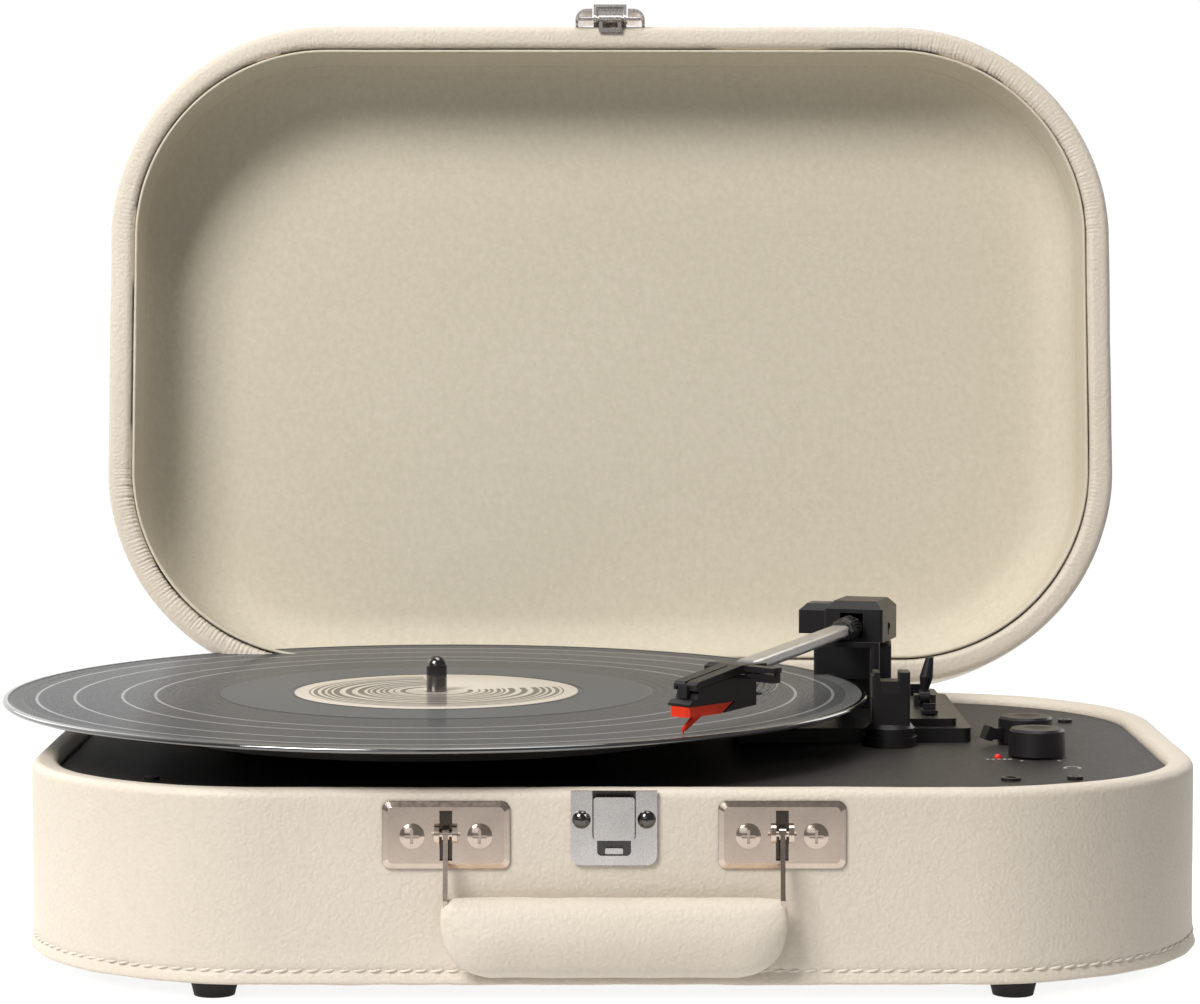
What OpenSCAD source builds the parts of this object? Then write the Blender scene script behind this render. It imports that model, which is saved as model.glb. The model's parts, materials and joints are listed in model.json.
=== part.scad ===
// Suitcase record player, standing on its feet with the lid leaning back on its hinges.
// +X is to the right, +Y to the back and +Z up. The origin is on the floor, under the
// middle of the open machine. Lengths inside the modules are measured from the middle of
// the case, which on_case() sets in its place.

/* [Case] */
// Width of the case
case_w = 387.4; // [370:0.1:410]
// Depth of the case, without its hardware
case_d = 256; // [250:0.5:270]
// Radius of the four upright corners
corner_r = 83; // [78:0.5:90]
// Height of the rubber feet
foot_h = 6; // [5:0.5:8]
// Height of the base above its feet
base_h = 61.6; // [60:0.1:64]
// Height of the lid
lid_h = 48; // [47:0.5:54]
// Thickness of the board walls
wall_t = 7.4; // [6:0.2:8]
// Thickness of the leatherette
skin_t = 0.8; // [0.6:0.1:1]
// Angle through which the lid is open
lid_open = 99.5; // [0:0.5:100]

/* [Turntable] */
// Spindle, to the right of the middle of the case
spindle_x = -61.5; // [-64:0.5:-58]
// Spindle, behind the middle of the case
spindle_y = 14.5; // [12:0.5:16]
// Radius of the spindle where a record sits on it
spindle_r = 3.6; // [3.5:0.05:3.65]
// Radius of the platter
platter_r = 100; // [95:1:101]
// Thickness of the mat
mat_t = 3; // [2:0.5:3]

/* [Tonearm] */
// Tonearm pivot, to the right of the middle of the case
pivot_x = 91; // [88:0.5:94]
// Tonearm pivot, behind the middle of the case
pivot_y = 75; // [72:0.5:78]
// Height of the level axis that the arm tips about
pivot_z = 98.6; // [98:0.1:99]
// Swing of the arm in from straight ahead
arm_angle = 17.5; // [12:0.5:20]
// Distance from the pivot to the head
arm_length = 164; // [160:1:166]
// Turn of the head from the arm
head_offset = 25; // [20:1:30]

/* [Handle] */
// Distance from the middle of the case to each handle bracket
bracket_x = 52.6; // [50:0.1:56]
// Height of the handle's hinge line
handle_z = 54; // [52:0.5:56]

/* [Knobs] */
// Radius of the knobs
knob_r = 9.7; // [8:0.1:10.5]
// Height of the knobs
knob_h = 9; // [7:0.5:10]

/* [Hidden] */

$fn = 96;
eps = 0.01;

rim_z = foot_h + base_h;                  // top of the base
front = -case_d / 2;                      // outer face of the front wall
back = case_d / 2;                        // outer face of the back wall
wall_in = skin_t + wall_t;                // from the outer face to the board's inner face
rim_w = wall_in + skin_t;                 // width of the covered rim
lid_gap = 0.4;                            // between the closed rims
lid_z = rim_z + lid_gap;                  // foot of the closed lid
lid_top = lid_z + lid_h;
hinge_y = back + 2.8;
hinge_z = rim_z + lid_gap / 2;
handle_front = 14.6;                      // the grip's front, ahead of the case
screw_x = 10.6;                           // bracket screws, from the bracket's middle
screw_z = 53.3;
screw_r = 3.9;                            // radius of a bracket screw's head
shank = 0.42;                             // a screw's shank, as a share of its head
rivet_x = 10.2;                           // the strike's rivets
rivet_z = 58.4;
rivet_r = 1.2;
lid_reach = (lid_top - hinge_z) * sin(lid_open) + (front - hinge_y) * cos(lid_open);
case_y = (case_d / 2 + handle_front - hinge_y - lid_reach) / 2;

deck_z = 64.5;                            // top of the deck
deck_t = 2.8;
deck_in = rim_w + 0.7;
floor_z = foot_h + skin_t;                // underside of the bottom board
floor_t = 4;
platter_z = 76.8;                         // top of the bare platter
mat_z = platter_z + mat_t;
bush_r = 6.5;
shaft_r = 3.0;                            // the spindle, below the record
drum_r = 60;
pulley_r = 4.6;
motor_x = spindle_x - 72.7;
motor_y = spindle_y + 42;
knob_z = deck_z + 0.7;
volume_at = [144, -30];
selector_at = [144, 3];
led_at = [130.4, -34];
jack_at = [129, -86];
plate_lo = [42, 5];                       // mechanism plate, front left corner
plate_hi = [125.6, 105];
plate_z = deck_z + 5;
tier_z = plate_z + 2.5;
rest_at = [96.4, -2];
cue_at = [113, 50];
cue_axis_z = 75;
cue_bar_r = 32.2;                         // the lift bar's distance from the arm pivot
tilt = 0.65;                              // rise of the arm towards its head
latch_y = front - 2.2;                    // the latch's rod, lid closed
latch_z = lid_z - 2.0;
latch_low = lid_z - 3;                    // lower end of the latch's plate

// ---------- shared shapes ----------

module on_case() {
    translate([0, case_y, 0]) children();
}

// Places what is drawn with the lid shut where the open lid has it.
module on_lid() {
    on_case() translate([0, hinge_y, hinge_z]) rotate([-lid_open, 0, 0])
        translate([0, -hinge_y, -hinge_z]) children();
}

module at_arm() {
    on_case() translate([pivot_x, pivot_y, 0]) rotate([0, 0, -arm_angle]) children();
}

// The arm itself: -Y runs from the pivot to the head, which it rises to a little.
module on_arm() {
    at_arm() translate([0, 0, pivot_z]) rotate([-tilt, 0, 0]) children();
}

module at_head() {
    at_arm() translate([0, -arm_length, 0]) rotate([0, 0, -head_offset]) children();
}

// Outline of the case, drawn in by inset from its outer face.
module outline(inset) {
    w = case_w - 2 * inset;
    d = case_d - 2 * inset;
    r = corner_r - inset;
    square([w - 2 * r, d], center = true);
    square([w, d - 2 * r], center = true);
    for (sx = [-1, 1], sy = [-1, 1])
        translate([sx * (w / 2 - r), sy * (d / 2 - r)]) circle(r);
}

module slab(inset, z0, z1) {
    translate([0, 0, z0]) linear_extrude(z1 - z0) outline(inset);
}

module ring(inset_out, inset_in, z0, z1) {
    difference() {
        slab(inset_out, z0, z1);
        slab(inset_in, z0 - 1, z1 + 1);
    }
}

// Sweeps a profile round the case: x is the distance in from the outer face, y the height.
module sweep() {
    run_x = case_w - 2 * corner_r;
    run_y = case_d - 2 * corner_r;
    for (side = [0, 180]) {
        rotate(side) translate([case_w / 2, run_y / 2, 0]) rotate([90, 0, 0])
            linear_extrude(run_y) mirror([1, 0]) children();
        rotate(side + 90) translate([case_d / 2, run_x / 2, 0]) rotate([90, 0, 0])
            linear_extrude(run_x) mirror([1, 0]) children();
    }
    for (sx = [1, -1], sy = [1, -1])
        translate([sx * run_x / 2, sy * run_y / 2, 0])
            rotate(sx > 0 ? (sy > 0 ? 0 : 270) : (sy > 0 ? 90 : 180))
                rotate_extrude(angle = 90) translate([corner_r, 0]) mirror([1, 0]) children();
}

// Rectangle from lo to hi with round upper corners (top_r) and lower corners (low_r).
module soft_rect(lo, hi, top_r, low_r) {
    w = hi.x - lo.x;
    translate([lo.x, lo.y + low_r]) square([w, hi.y - lo.y - top_r - low_r]);
    if (top_r > 0) {
        translate([lo.x + top_r, hi.y - 2 * top_r]) square([w - 2 * top_r, 2 * top_r]);
        for (x = [lo.x + top_r, hi.x - top_r]) translate([x, hi.y - top_r]) circle(top_r);
    }
    if (low_r > 0) {
        translate([lo.x + low_r, lo.y]) square([w - 2 * low_r, 2 * low_r]);
        for (x = [lo.x + low_r, hi.x - low_r]) translate([x, lo.y + low_r]) circle(low_r);
    }
}

// Block between two corners.
module block(lo, hi) {
    translate(lo) cube(hi - lo);
}

// Upright slab with rounded plan corners.
module soft_block(lo, hi, r) {
    translate([0, 0, lo.z]) linear_extrude(hi.z - lo.z)
        soft_rect([lo.x, lo.y], [hi.x, hi.y], r, r);
}

// Rod of radius r from z0 to z1.
module rod(r, z0, z1) {
    translate([0, 0, z0]) cylinder(r = r, h = z1 - z0);
}

module tube(r_out, r_in, z0, z1) {
    difference() {
        rod(r_out, z0, z1);
        rod(r_in, z0 - 1, z1 + 1);
    }
}

// Rod along X, centred on the origin.
module cross_rod(r, length) {
    rotate([0, 90, 0]) cylinder(r = r, h = length, center = true);
}

// Plate that lies against the front face, standing proud of it between two depths.
module front_plate(lo, hi, out0, out1, top_r, low_r) {
    translate([0, front - out0, 0]) rotate([90, 0, 0]) linear_extrude(out1 - out0)
        soft_rect(lo, hi, top_r, low_r);
}

// Cross-head screw seen from the front, its head standing on depth out.
module front_screw(x, z, out, r, length) {
    translate([x, front - out, z]) rotate([90, 0, 0]) difference() {
        union() {
            intersection() {
                translate([0, 0, -2 * r + r * 0.5]) sphere(2 * r * 0.98);
                cylinder(r = r, h = r);
            }
            translate([0, 0, -length]) cylinder(r = r * shank, h = length + 0.2);
        }
        for (a = [0, 90]) rotate(a) translate([-r * 0.55, -r * 0.12, r * 0.22])
            cube([r * 1.1, r * 0.24, r]);
    }
}

// Hole through what lies against the front face.
module front_hole(x, z, r) {
    translate([x, front + 1, z]) rotate([90, 0, 0]) cylinder(r = r, h = 12);
}

// ---------- base ----------

module base_shell() {
    cleat_w = 9;
    color("burlywood") on_case() difference() {
        union() {
            sweep() difference() {
                soft_rect([skin_t, floor_z], [wall_in, rim_z - skin_t], 2.2, 0);
                square([skin_t + eps, floor_z]);
            }
            ring(wall_in, wall_in + cleat_w, deck_z - deck_t - 12.1, deck_z - deck_t - 0.1);
        }
        rear_opening();
    }
}

// Cut-out for the socket panel in the back wall.
module rear_opening() {
    block([-92, back - 30, 21], [-8, back + 1, 44]);
}

module base_cover() {
    turn_in = 5;
    hem_w = 3.5;
    color("antiquewhite") on_case() difference() {
        sweep() difference() {
            soft_rect([0, foot_h], [rim_w, rim_z], 3, 0);
            soft_rect([skin_t, floor_z], [wall_in, rim_z - skin_t], 2.2, 0);
            translate([wall_in - eps, foot_h - 1]) square([rim_w, rim_z - turn_in - foot_h + 1]);
        }
        rear_opening();
    }
    color("antiquewhite") on_case() ring(skin_t, skin_t + hem_w, foot_h, floor_z);
}

module bottom_panel() {
    slot_w = 3;
    slot_pitch = 7;
    color("dimgray") on_case() difference() {
        slab(wall_in + 0.1, floor_z, floor_z + floor_t);
        for (sx = [-1, 1], row = [-3:3])
            block([sx * 128 - 20, -48 + row * slot_pitch - slot_w / 2, floor_z - 1],
                [sx * 128 + 20, -48 + row * slot_pitch + slot_w / 2, floor_z + floor_t + 1]);
        for (sx = [-1, 1], sy = [-1, 1]) translate([sx * 127, sy * 113, 0])
            rod(1.4, floor_z - 1, floor_z + floor_t + 1);
    }
}

module feet() {
    color("black") on_case() for (sx = [-1, 1], sy = [-1, 1])
        translate([sx * 127, sy * 113, 0]) rotate_extrude() difference() {
            polygon([[0, 0], [6.5, 0], [8, foot_h], [4.2, foot_h], [4.2, floor_z], [0, floor_z]]);
            square([3.4, 3]);
            square([1.6, 8]);
        }
}

module foot_screws() {
    color("silver") on_case() for (sx = [-1, 1], sy = [-1, 1])
        translate([sx * 127, sy * 113, 0]) {
            rod(3.2, 1.2, 2.9);
            rod(1.35, 2.8, floor_z + floor_t + 4);
        }
}

module deck_panel() {
    color([0.09, 0.09, 0.09]) on_case() difference() {
        slab(deck_in, deck_z - deck_t, deck_z);
        translate([spindle_x, spindle_y, 0]) rod(8.2, deck_z - 5, deck_z + 1);
        translate([motor_x, motor_y, 0]) rod(6.4, deck_z - 5, deck_z + 1);
        translate([pivot_x, pivot_y, 0]) rod(9, deck_z - 5, deck_z + 1);
        for (at = [volume_at, selector_at]) translate(at) rod(3.7, deck_z - 5, deck_z + 1);
        translate(led_at) rod(1.25, deck_z - 5, deck_z + 1);
        translate(jack_at) rod(3.0, deck_z - 5, deck_z + 1);
    }
}

module deck_screws() {
    color("black") on_case() for (at = [[-150, -84], [150, -84], [-165, 60], [165, 60]])
        translate(at) {
            difference() {
                rod(2.6, deck_z + 0.02, deck_z + 1.1);
                for (a = [45, 135]) rotate(a) translate([-1.6, -0.35, deck_z + 0.5]) cube([3.2, 0.7, 1]);
            }
        }
}

// ---------- turntable ----------

module spindle() {
    color("silver") on_case() translate([spindle_x, spindle_y, 0]) {
        rod(shaft_r, 46.5, mat_z + 0.4);
        rod(spindle_r, mat_z + 0.4, mat_z + 10.6);
        intersection() {
            translate([0, 0, mat_z + 10.6]) sphere(spindle_r);
            rod(spindle_r, mat_z + 10.5, mat_z + 15);
        }
    }
}

module spindle_housing() {
    color("gray") on_case() translate([spindle_x, spindle_y, 0]) difference() {
        union() {
            rod(18, deck_z - deck_t - 2.6, deck_z - deck_t);
            rod(8, 44, deck_z + 1.3);
        }
        rod(shaft_r + 0.02, 46.5, 80);
    }
}

module spindle_clip() {
    color("dimgray") on_case() translate([spindle_x, spindle_y, 0]) difference() {
        tube(5.8, shaft_r + 0.02, platter_z + 0.1, platter_z + 0.8);
        block([-1.2, 0, 0], [1.2, 8, 100]);
    }
}

module platter() {
    rib_n = 6;
    color([0.12, 0.12, 0.12]) on_case() translate([spindle_x, spindle_y, 0]) difference() {
        union() {
            rotate_extrude() {
                translate([0, platter_z - 1.6]) square([platter_r - 0.6, 1.6]);
                soft_rect([platter_r - 2, 70], [platter_r, platter_z], 0.6, 0.6);
                translate([drum_r - 2.2, 66.2]) square([2.2, platter_z - 67]);
                translate([0, 66.2]) square([11, platter_z - 67]);
            }
            for (i = [0:rib_n - 1]) rotate(i * 360 / rib_n)
                block([10, -0.8, 71], [drum_r - 1, 0.8, platter_z - 1]);
        }
        rod(bush_r, 60, 90);
    }
}

module platter_bush() {
    color("goldenrod") on_case() translate([spindle_x, spindle_y, 0])
        tube(bush_r, shaft_r + 0.06, 66.1, platter_z - 0.1);
}

module slipmat() {
    label_r = 51;
    color([0.16, 0.16, 0.16]) on_case() translate([spindle_x, spindle_y, 0]) rotate_extrude()
        difference() {
            soft_rect([4.2, platter_z], [platter_r - 2, mat_z], 0.6, 0.2);
            translate([0, mat_z - 0.5]) square([label_r, 1]);
            translate([0, platter_z - 1]) square([7.4, 2.6]);
        }
}

module belt_outline(grow) {
    hull() {
        translate([spindle_x, spindle_y]) circle(drum_r + grow, $fn = 120);
        translate([motor_x, motor_y]) circle(pulley_r + grow, $fn = 32);
    }
}

module drive_belt() {
    color([0.05, 0.05, 0.05]) on_case() translate([0, 0, 66.7]) linear_extrude(2.8)
        difference() {
            belt_outline(0.9);
            belt_outline(0.25);
        }
}

module motor() {
    color("silver") on_case() translate([motor_x, motor_y, 0]) difference() {
        union() {
            rod(17, 34, 58.6);
            rod(5, 58, 64);
            soft_block([-24, -10, 58.6], [24, 10, 60.4], 4);
            for (s = [-1, 1]) translate([s * 20, 0, 0]) rod(3.4, 60.3, deck_z - deck_t);
        }
        rod(1.05, 36, 70);
    }
}

module motor_shaft() {
    color("lightgray") on_case() translate([motor_x, motor_y, 0]) rod(1.0, 38, 71);
}

module motor_pulley() {
    color("goldenrod") on_case() translate([motor_x, motor_y, 0]) difference() {
        union() {
            rod(5.9, 65.4, 66.2);
            rod(pulley_r, 66.1, 70.1);
            rod(5.9, 70, 70.8);
        }
        rod(1.01, 60, 80);
    }
}

// ---------- electronics ----------

module amp_board() {
    board_z = floor_z + floor_t + 6;
    color("darkgreen") on_case() {
        block([-40, 20, board_z], [60, 90, board_z + 1.6]);
        for (x = [-35, 55], y = [25, 85]) translate([x, y, 0])
            rod(2.5, floor_z + floor_t, board_z + 0.1);
        for (x = [-20, 0]) translate([x, 75, 0]) rod(5, board_z + 1.5, board_z + 14);
        for (i = [0:6]) block([18 + 3 * i, 60, board_z + 1.5], [19.4 + 3 * i, 84, board_z + 16]);
        block([17, 60, board_z + 1.5], [39, 84, board_z + 4]);
        block([-24, 36, board_z + 1.5], [-8, 46, board_z + 4]);
        for (x = [5, 20, 35]) block([x, 24, board_z + 1.5], [x + 9, 29, board_z + 9]);
    }
}

module speakers() {
    base_z = floor_z + floor_t;
    color("darkslategray") on_case() for (sx = [-1, 1]) translate([sx * 128, -48, 0]) difference() {
        union() {
            rod(26, base_z, base_z + 3);
            translate([0, 0, base_z + 2.9]) cylinder(r1 = 24, r2 = 13, h = 12);
            rod(15, base_z + 14.8, base_z + 26);
        }
        translate([0, 0, base_z - eps]) cylinder(r1 = 22.5, r2 = 9, h = 11);
    }
}

// Rotary control under the deck, with the bore that its shaft turns in.
module rotary_control(at) {
    on_case() translate(at) difference() {
        union() {
            soft_block([-8.5, -10, deck_z - deck_t - 9], [8.5, 8.5, deck_z - deck_t - 0.1], 2);
            rod(3.5, deck_z - deck_t - 0.2, deck_z + 0.3);
        }
        rod(3.05, deck_z - deck_t - 6, deck_z + 2);
    }
}

// Shaft that carries a knob, with its driving flat cut away at the top.
module control_shaft(at) {
    on_case() translate(at) difference() {
        rod(3.0, deck_z - deck_t - 5.5, knob_z + 6);
        block([1.6, -4, knob_z + 0.8], [4, 4, knob_z + 9]);
    }
}

module knob_body() {
    difference() {
        rotate_extrude() difference() {
            polygon([[0, 0], [knob_r, 0], [knob_r - 0.35, knob_h - 0.8],
                [knob_r - 1.1, knob_h], [0, knob_h]]);
            translate([0, knob_h + 21.4]) circle(22);
        }
        difference() {
            rod(3.03, -1, 6.2);
            block([1.62, -4, 0.8], [4, 4, 9]);
        }
    }
}

module volume_pot() {
    color("silver") rotary_control(volume_at);
}

module volume_shaft() {
    color("lightgray") control_shaft(volume_at);
}

module volume_knob() {
    color([0.08, 0.08, 0.08]) on_case() translate([volume_at.x, volume_at.y, knob_z]) knob_body();
}

module selector_switch() {
    color("silver") rotary_control(selector_at);
}

module selector_shaft() {
    color("lightgray") control_shaft(selector_at);
}

module selector_knob() {
    color([0.08, 0.08, 0.08]) on_case() translate([selector_at.x, selector_at.y, knob_z]) {
        knob_body();
        rotate(25) {
            translate([-15.4, -1.4, 1.4]) cube([6.6, 2.8, 4]);
            translate([-17.4, -2.1, 2.2]) rotate([0, 24, 0]) cube([3, 4.2, 4.6]);
        }
    }
}

module power_led() {
    color("red") on_case() translate(led_at) {
        rod(1.2, deck_z - 7, deck_z + 0.2);
        translate([0, 0, deck_z + 0.2]) intersection() {
            sphere(1.2);
            rod(1.2, 0, 2);
        }
    }
}

module headphone_jack() {
    color([0.1, 0.1, 0.1]) on_case() translate(jack_at) difference() {
        union() {
            rod(2.95, deck_z - 3, deck_z + 0.2);
            tube(3.3, 1.0, deck_z + 0.02, deck_z + 1.0);
            soft_block([-4, -4, deck_z - 18], [4, 4, deck_z - deck_t - 0.1], 1);
        }
        rod(1.75, deck_z - 15, deck_z + 2);
    }
}

module rear_panel() {
    color([0.1, 0.1, 0.1]) on_case() difference() {
        union() {
            translate([0, back + 0.05, 0]) rotate([-90, 0, 0]) mirror([0, 1, 0])
                linear_extrude(1.6) soft_rect([-96, 17], [-4, 47.4], 3, 3);
            block([-91.8, back - 7, 21.2], [-8.2, back + 0.1, 43.8]);
        }
        block([-89.8, back - 8, 23.2], [-10.2, back - 1, 41.8]);
        for (x = [-78, -62]) rear_hole(x, 34, 5.0);
        rear_hole(-42, 34, 3.1);
        rear_hole(-22, 34, 4.1);
    }
}

module rear_hole(x, z, r) {
    translate([x, back - 9, z]) rotate([-90, 0, 0]) cylinder(r = r, h = 20);
}

module rca_jacks() {
    color("silver") on_case() for (x = [-78, -62])
        translate([x, back, 34]) rotate([-90, 0, 0]) {
            difference() {
                rod(4.15, -6, 9);
                rod(3.3, 0.5, 10);
            }
            difference() {
                rod(2.4, 0.4, 8.4);
                rod(1.6, 1.5, 10);
            }
            rod(4.9, -0.9, 1.4);
        }
}

module aux_jack() {
    color([0.12, 0.12, 0.12]) on_case() translate([-42, back, 34]) rotate([-90, 0, 0])
        difference() {
            union() {
                rod(3.0, -12, 1.7);
                rod(4.2, 1.7, 2.5);
            }
            rod(1.75, -11, 4);
        }
}

module dc_inlet() {
    color([0.12, 0.12, 0.12]) on_case() translate([-22, back, 34]) rotate([-90, 0, 0]) {
        difference() {
            rod(4.0, -11, 1.8);
            rod(2.75, -10, 4);
        }
        rod(1.0, -10.5, 0.6);
    }
}

// ---------- mechanism plate ----------

module mechanism_plate() {
    color([0.1, 0.1, 0.1]) on_case() difference() {
        union() {
            difference() {
                soft_block([plate_lo.x, plate_lo.y, deck_z], [plate_hi.x, plate_hi.y, plate_z], 3);
                block([plate_lo.x + 2, plate_lo.y + 2, deck_z - 1],
                    [plate_hi.x - 2, plate_hi.y - 2, plate_z - 2]);
            }
            difference() {
                soft_block([100, 12, plate_z - 0.5], [121, 100, tier_z], 2);
                block([102, 14, plate_z - 3], [119, 98, tier_z - 1.8]);
            }
            translate([pivot_x, pivot_y, 0]) rod(13, plate_z - 2.1, plate_z + 0.6);
            for (s = [-1, 1]) translate([cue_at.x + s * 3, cue_at.y, 0])
                block([-0.8, -2.6, tier_z - 0.5], [0.8, 2.6, cue_axis_z + 1]);
        }
        translate([pivot_x, pivot_y, 0]) rod(8.6, deck_z - 1, plate_z + 2);
        translate(rest_at) rod(9.5, deck_z - 1, plate_z + 2);
        slider_slot([112.5, 26]);
        slider_slot([112.5, 84]);
        for (i = [0:4]) block([103.5, 62 + i * 4, tier_z - 0.6], [108.5, 63.4 + i * 4, tier_z + 1]);
        translate([cue_at.x, cue_at.y, 0]) block([-2.2, -6, plate_z - 3], [2.2, 7.4, tier_z + 1]);
        translate([pivot_x, pivot_y, 0]) rotate(bar_end) translate([0, -cue_bar_r, 0])
            rod(1.85, 60, 90);
    }
    color("silver") on_case() translate([cue_at.x, cue_at.y, cue_axis_z]) cross_rod(0.95, 4.6);
}

module slider_slot(at) {
    translate([at.x - 1.6, at.y - 7, plate_z - 3]) cube([3.2, 14, 12]);
}

// Small thumb tab on a stem that slides along Y.
module slider(at) {
    on_case() translate([at.x, at.y, 0]) {
        block([-1.4, -2.5, deck_z + 1.5], [1.4, 2.5, tier_z + 0.4]);
        block([-2.8, -3.6, tier_z + 0.3], [2.8, 3.6, tier_z + 1.4]);
        block([-2.2, -0.8, tier_z + 1.3], [2.2, 0.8, tier_z + 3.6]);
        block([-2.8, -4, deck_z + 0.6], [2.8, 4, deck_z + 1.6]);
    }
}

module speed_slider() {
    color([0.14, 0.14, 0.14]) slider([112.5, 26]);
}

module autostop_slider() {
    color([0.14, 0.14, 0.14]) slider([112.5, 84]);
}

module arm_rest() {
    notch_z = 87.3;
    color([0.09, 0.09, 0.09]) on_case() translate([rest_at.x, rest_at.y, 0]) difference() {
        union() {
            rod(9.4, deck_z + 0.02, deck_z + 3.4);
            rod(8.6, deck_z + 3.3, deck_z + 6.4);
            translate([0, 0, deck_z + 6.3]) cylinder(r1 = 8.6, r2 = 7.2, h = 1.6);
            soft_block([-6.6, -5, deck_z + 3], [6.6, 5, 90.4], 1);
        }
        block([-3.9, -8, notch_z], [2.9, 8, 95]);
        for (s = [-1, 1]) translate([0, s * 5.9, 84]) rotate([s * 6, 0, 0])
            block([-3.9, -1, -8], [2.9, 1, 12]);
        block([-7, -8, 89.2], [-5.9, 8, 95]);
    }
}

module cue_lever() {
    color([0.07, 0.07, 0.07]) on_case() translate([cue_at.x, cue_at.y, cue_axis_z]) {
        difference() {
            union() {
                cross_rod(2.6, 3.6);
                hull() {
                    translate([0, 0, 3]) cylinder(r = 1.6, h = 0.5, $fn = 32);
                    translate([0.6, 0, 7]) cylinder(r = 2.4, h = 0.5, $fn = 32);
                    translate([1.8, 0, 14]) cylinder(r = 1.4, h = 0.4, $fn = 32);
                }
                rod(1.5, 1, 4);
            }
            cross_rod(1.0, 8);
        }
    }
}

bar_end = 6;                              // end of the lift bar, from straight ahead

// Lift bar that follows the arm's swing, on the post that raises it.
module cue_platform() {
    bar_in = -48;
    color([0.07, 0.07, 0.07]) on_case() translate([pivot_x, pivot_y, 0]) {
        rotate(-90 + bar_in) rotate_extrude(angle = bar_end - bar_in)
            translate([cue_bar_r - 1.2, 93.8]) square([2.4, 1.7]);
        rotate(bar_end) translate([0, -cue_bar_r, 0]) rod(1.8, 68, 95.4);
    }
}

// ---------- tonearm ----------

module arm_pedestal() {
    color([0.08, 0.08, 0.08]) on_case() translate([pivot_x, pivot_y, 0]) difference() {
        union() {
            rod(8.5, 50, 80.1);
            rotate(-4) {
                soft_block([-16.4, -12, 80], [11.8, 12, 92], 1.2);
                soft_block([-15.6, -11.2, 91.9], [11, 11.2, 92.7], 1.2);
            }
        }
        rod(3.05, 52, 100);
    }
}

module turret_shaft() {
    color("silver") on_case() translate([pivot_x, pivot_y, 0]) rod(3.0, 54, 94.6);
}

// Block with a smaller top: the plan shrinks by inset at each side over the last drop of height.
module cap(lo, hi, drop, inset) {
    hull() {
        block([lo.x, lo.y, lo.z], [hi.x, hi.y, hi.z - drop]);
        block([lo.x + inset, lo.y + inset, hi.z - 0.1], [hi.x - inset, hi.y - inset, hi.z]);
    }
}

module arm_turret() {
    color([0.08, 0.08, 0.08]) at_arm() difference() {
        union() {
            soft_block([-10.2, -12, 93.3], [11.5, 12, 105.4], 1);
            cap([-9.8, -11.8, 105.3], [11.3, 11.8, 108.2], 2.8, 2.7);
            soft_block([-22.5, -2, 95], [-10, 12, 103.6], 1);
            cap([-22.2, -1.8, 103.5], [-10, 11.8, 106], 2.4, 2.4);
        }
        translate([0, 0, pivot_z]) {
            block([-5.9, -8, -3.4], [5.9, 8, 6.4]);
            block([-4.2, -14, -3.6], [4.2, -7, 5.4]);
            cross_rod(1.02, 60);
        }
        rod(3.01, 80, 94.65);
        translate([11, -2, 98.5]) rotate([0, 90, 0]) cylinder(r = 1.6, h = 2);
        block([11, -2.7, 95.5], [12, -1.3, 98.5]);
    }
}

module arm_pivot_pin() {
    color("silver") at_arm() translate([0, 0, pivot_z]) cross_rod(1.0, 22);
}

module arm_tube() {
    flat_w = 6.4;
    flat_h = 4.6;
    color("gainsboro") on_arm() difference() {
        union() {
            cross_rod(3.2, 11.4);
            rotate([90, 0, 0]) cylinder(r = 3.2, h = 15);
            translate([0, -13, 0]) rotate([90, 0, 0]) cylinder(r = 4.2, h = 3);
            translate([0, -15.9, 0]) rotate([90, 0, 0]) cylinder(r = 3.7, h = 9);
            translate([0, -22, 0]) rotate([90, 0, 0]) linear_extrude(arm_length - 26)
                soft_rect([-flat_w / 2, -flat_h / 2], [flat_w / 2, flat_h / 2], 1.2, 1.8);
        }
        cross_rod(1.04, 20);
    }
}

// Draws a side outline (distance along the head, height) as wide as 2 * half_w.
module along_head(half_w) {
    rotate([90, 0, -90]) translate([0, 0, -half_w]) linear_extrude(2 * half_w) children();
}

module headshell() {
    color([0.07, 0.07, 0.07]) at_head() difference() {
        union() {
            along_head(4.8) polygon([[-7, 98.6], [-7, 102], [5, 102.3], [27, 98.6], [28, 97.6],
                [28, 95.8], [26.6, 95.6], [25, 96.8], [6, 99.6]]);
            cap([-12.6, -4, 98.8], [-4.6, 3.6, 102], 1.2, 1.2);
            block([-2.2, -29, 93.3], [1.6, -27.6, 97.2]);
            block([4.6, -4.6, 100.4], [17.2, -0.4, 102.1]);
            block([7.4, -4.2, 97.2], [17, -0.8, 99.8]);
            translate([6, -2.5, 98.7]) cross_rod(1.1, 3.4);
            block([16, -3, 99.6], [17.9, -2, 101.2]);
        }
        along_head(0.45) polygon([[7, 101.3], [29, 97.6], [29, 103], [7, 103]]);
        block([-3.8, -30, 95], [-2.2, -27.2, 96.9]);
        rotate([0, 0, head_offset]) translate([-3.22, 3.9, 97.4]) cube([6.44, 60, 22]);
    }
}

module cartridge() {
    color([0.07, 0.07, 0.07]) at_head() {
        along_head(4.6) polygon([[31, 90.95], [31, 91.7], [29.2, 92.9], [27.4, 93.1], [26.4, 95.4],
            [24.8, 96.6], [5.6, 99.3], [-2, 98.2], [-2, 88.8], [14.2, 87.7], [8.4, 90.95]]);
        for (x = [-3, -1, 1, 3]) translate([x, 1.9, 92]) rotate([-90, 0, 0])
            cylinder(r = 0.4, h = 4.4);
    }
}

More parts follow.
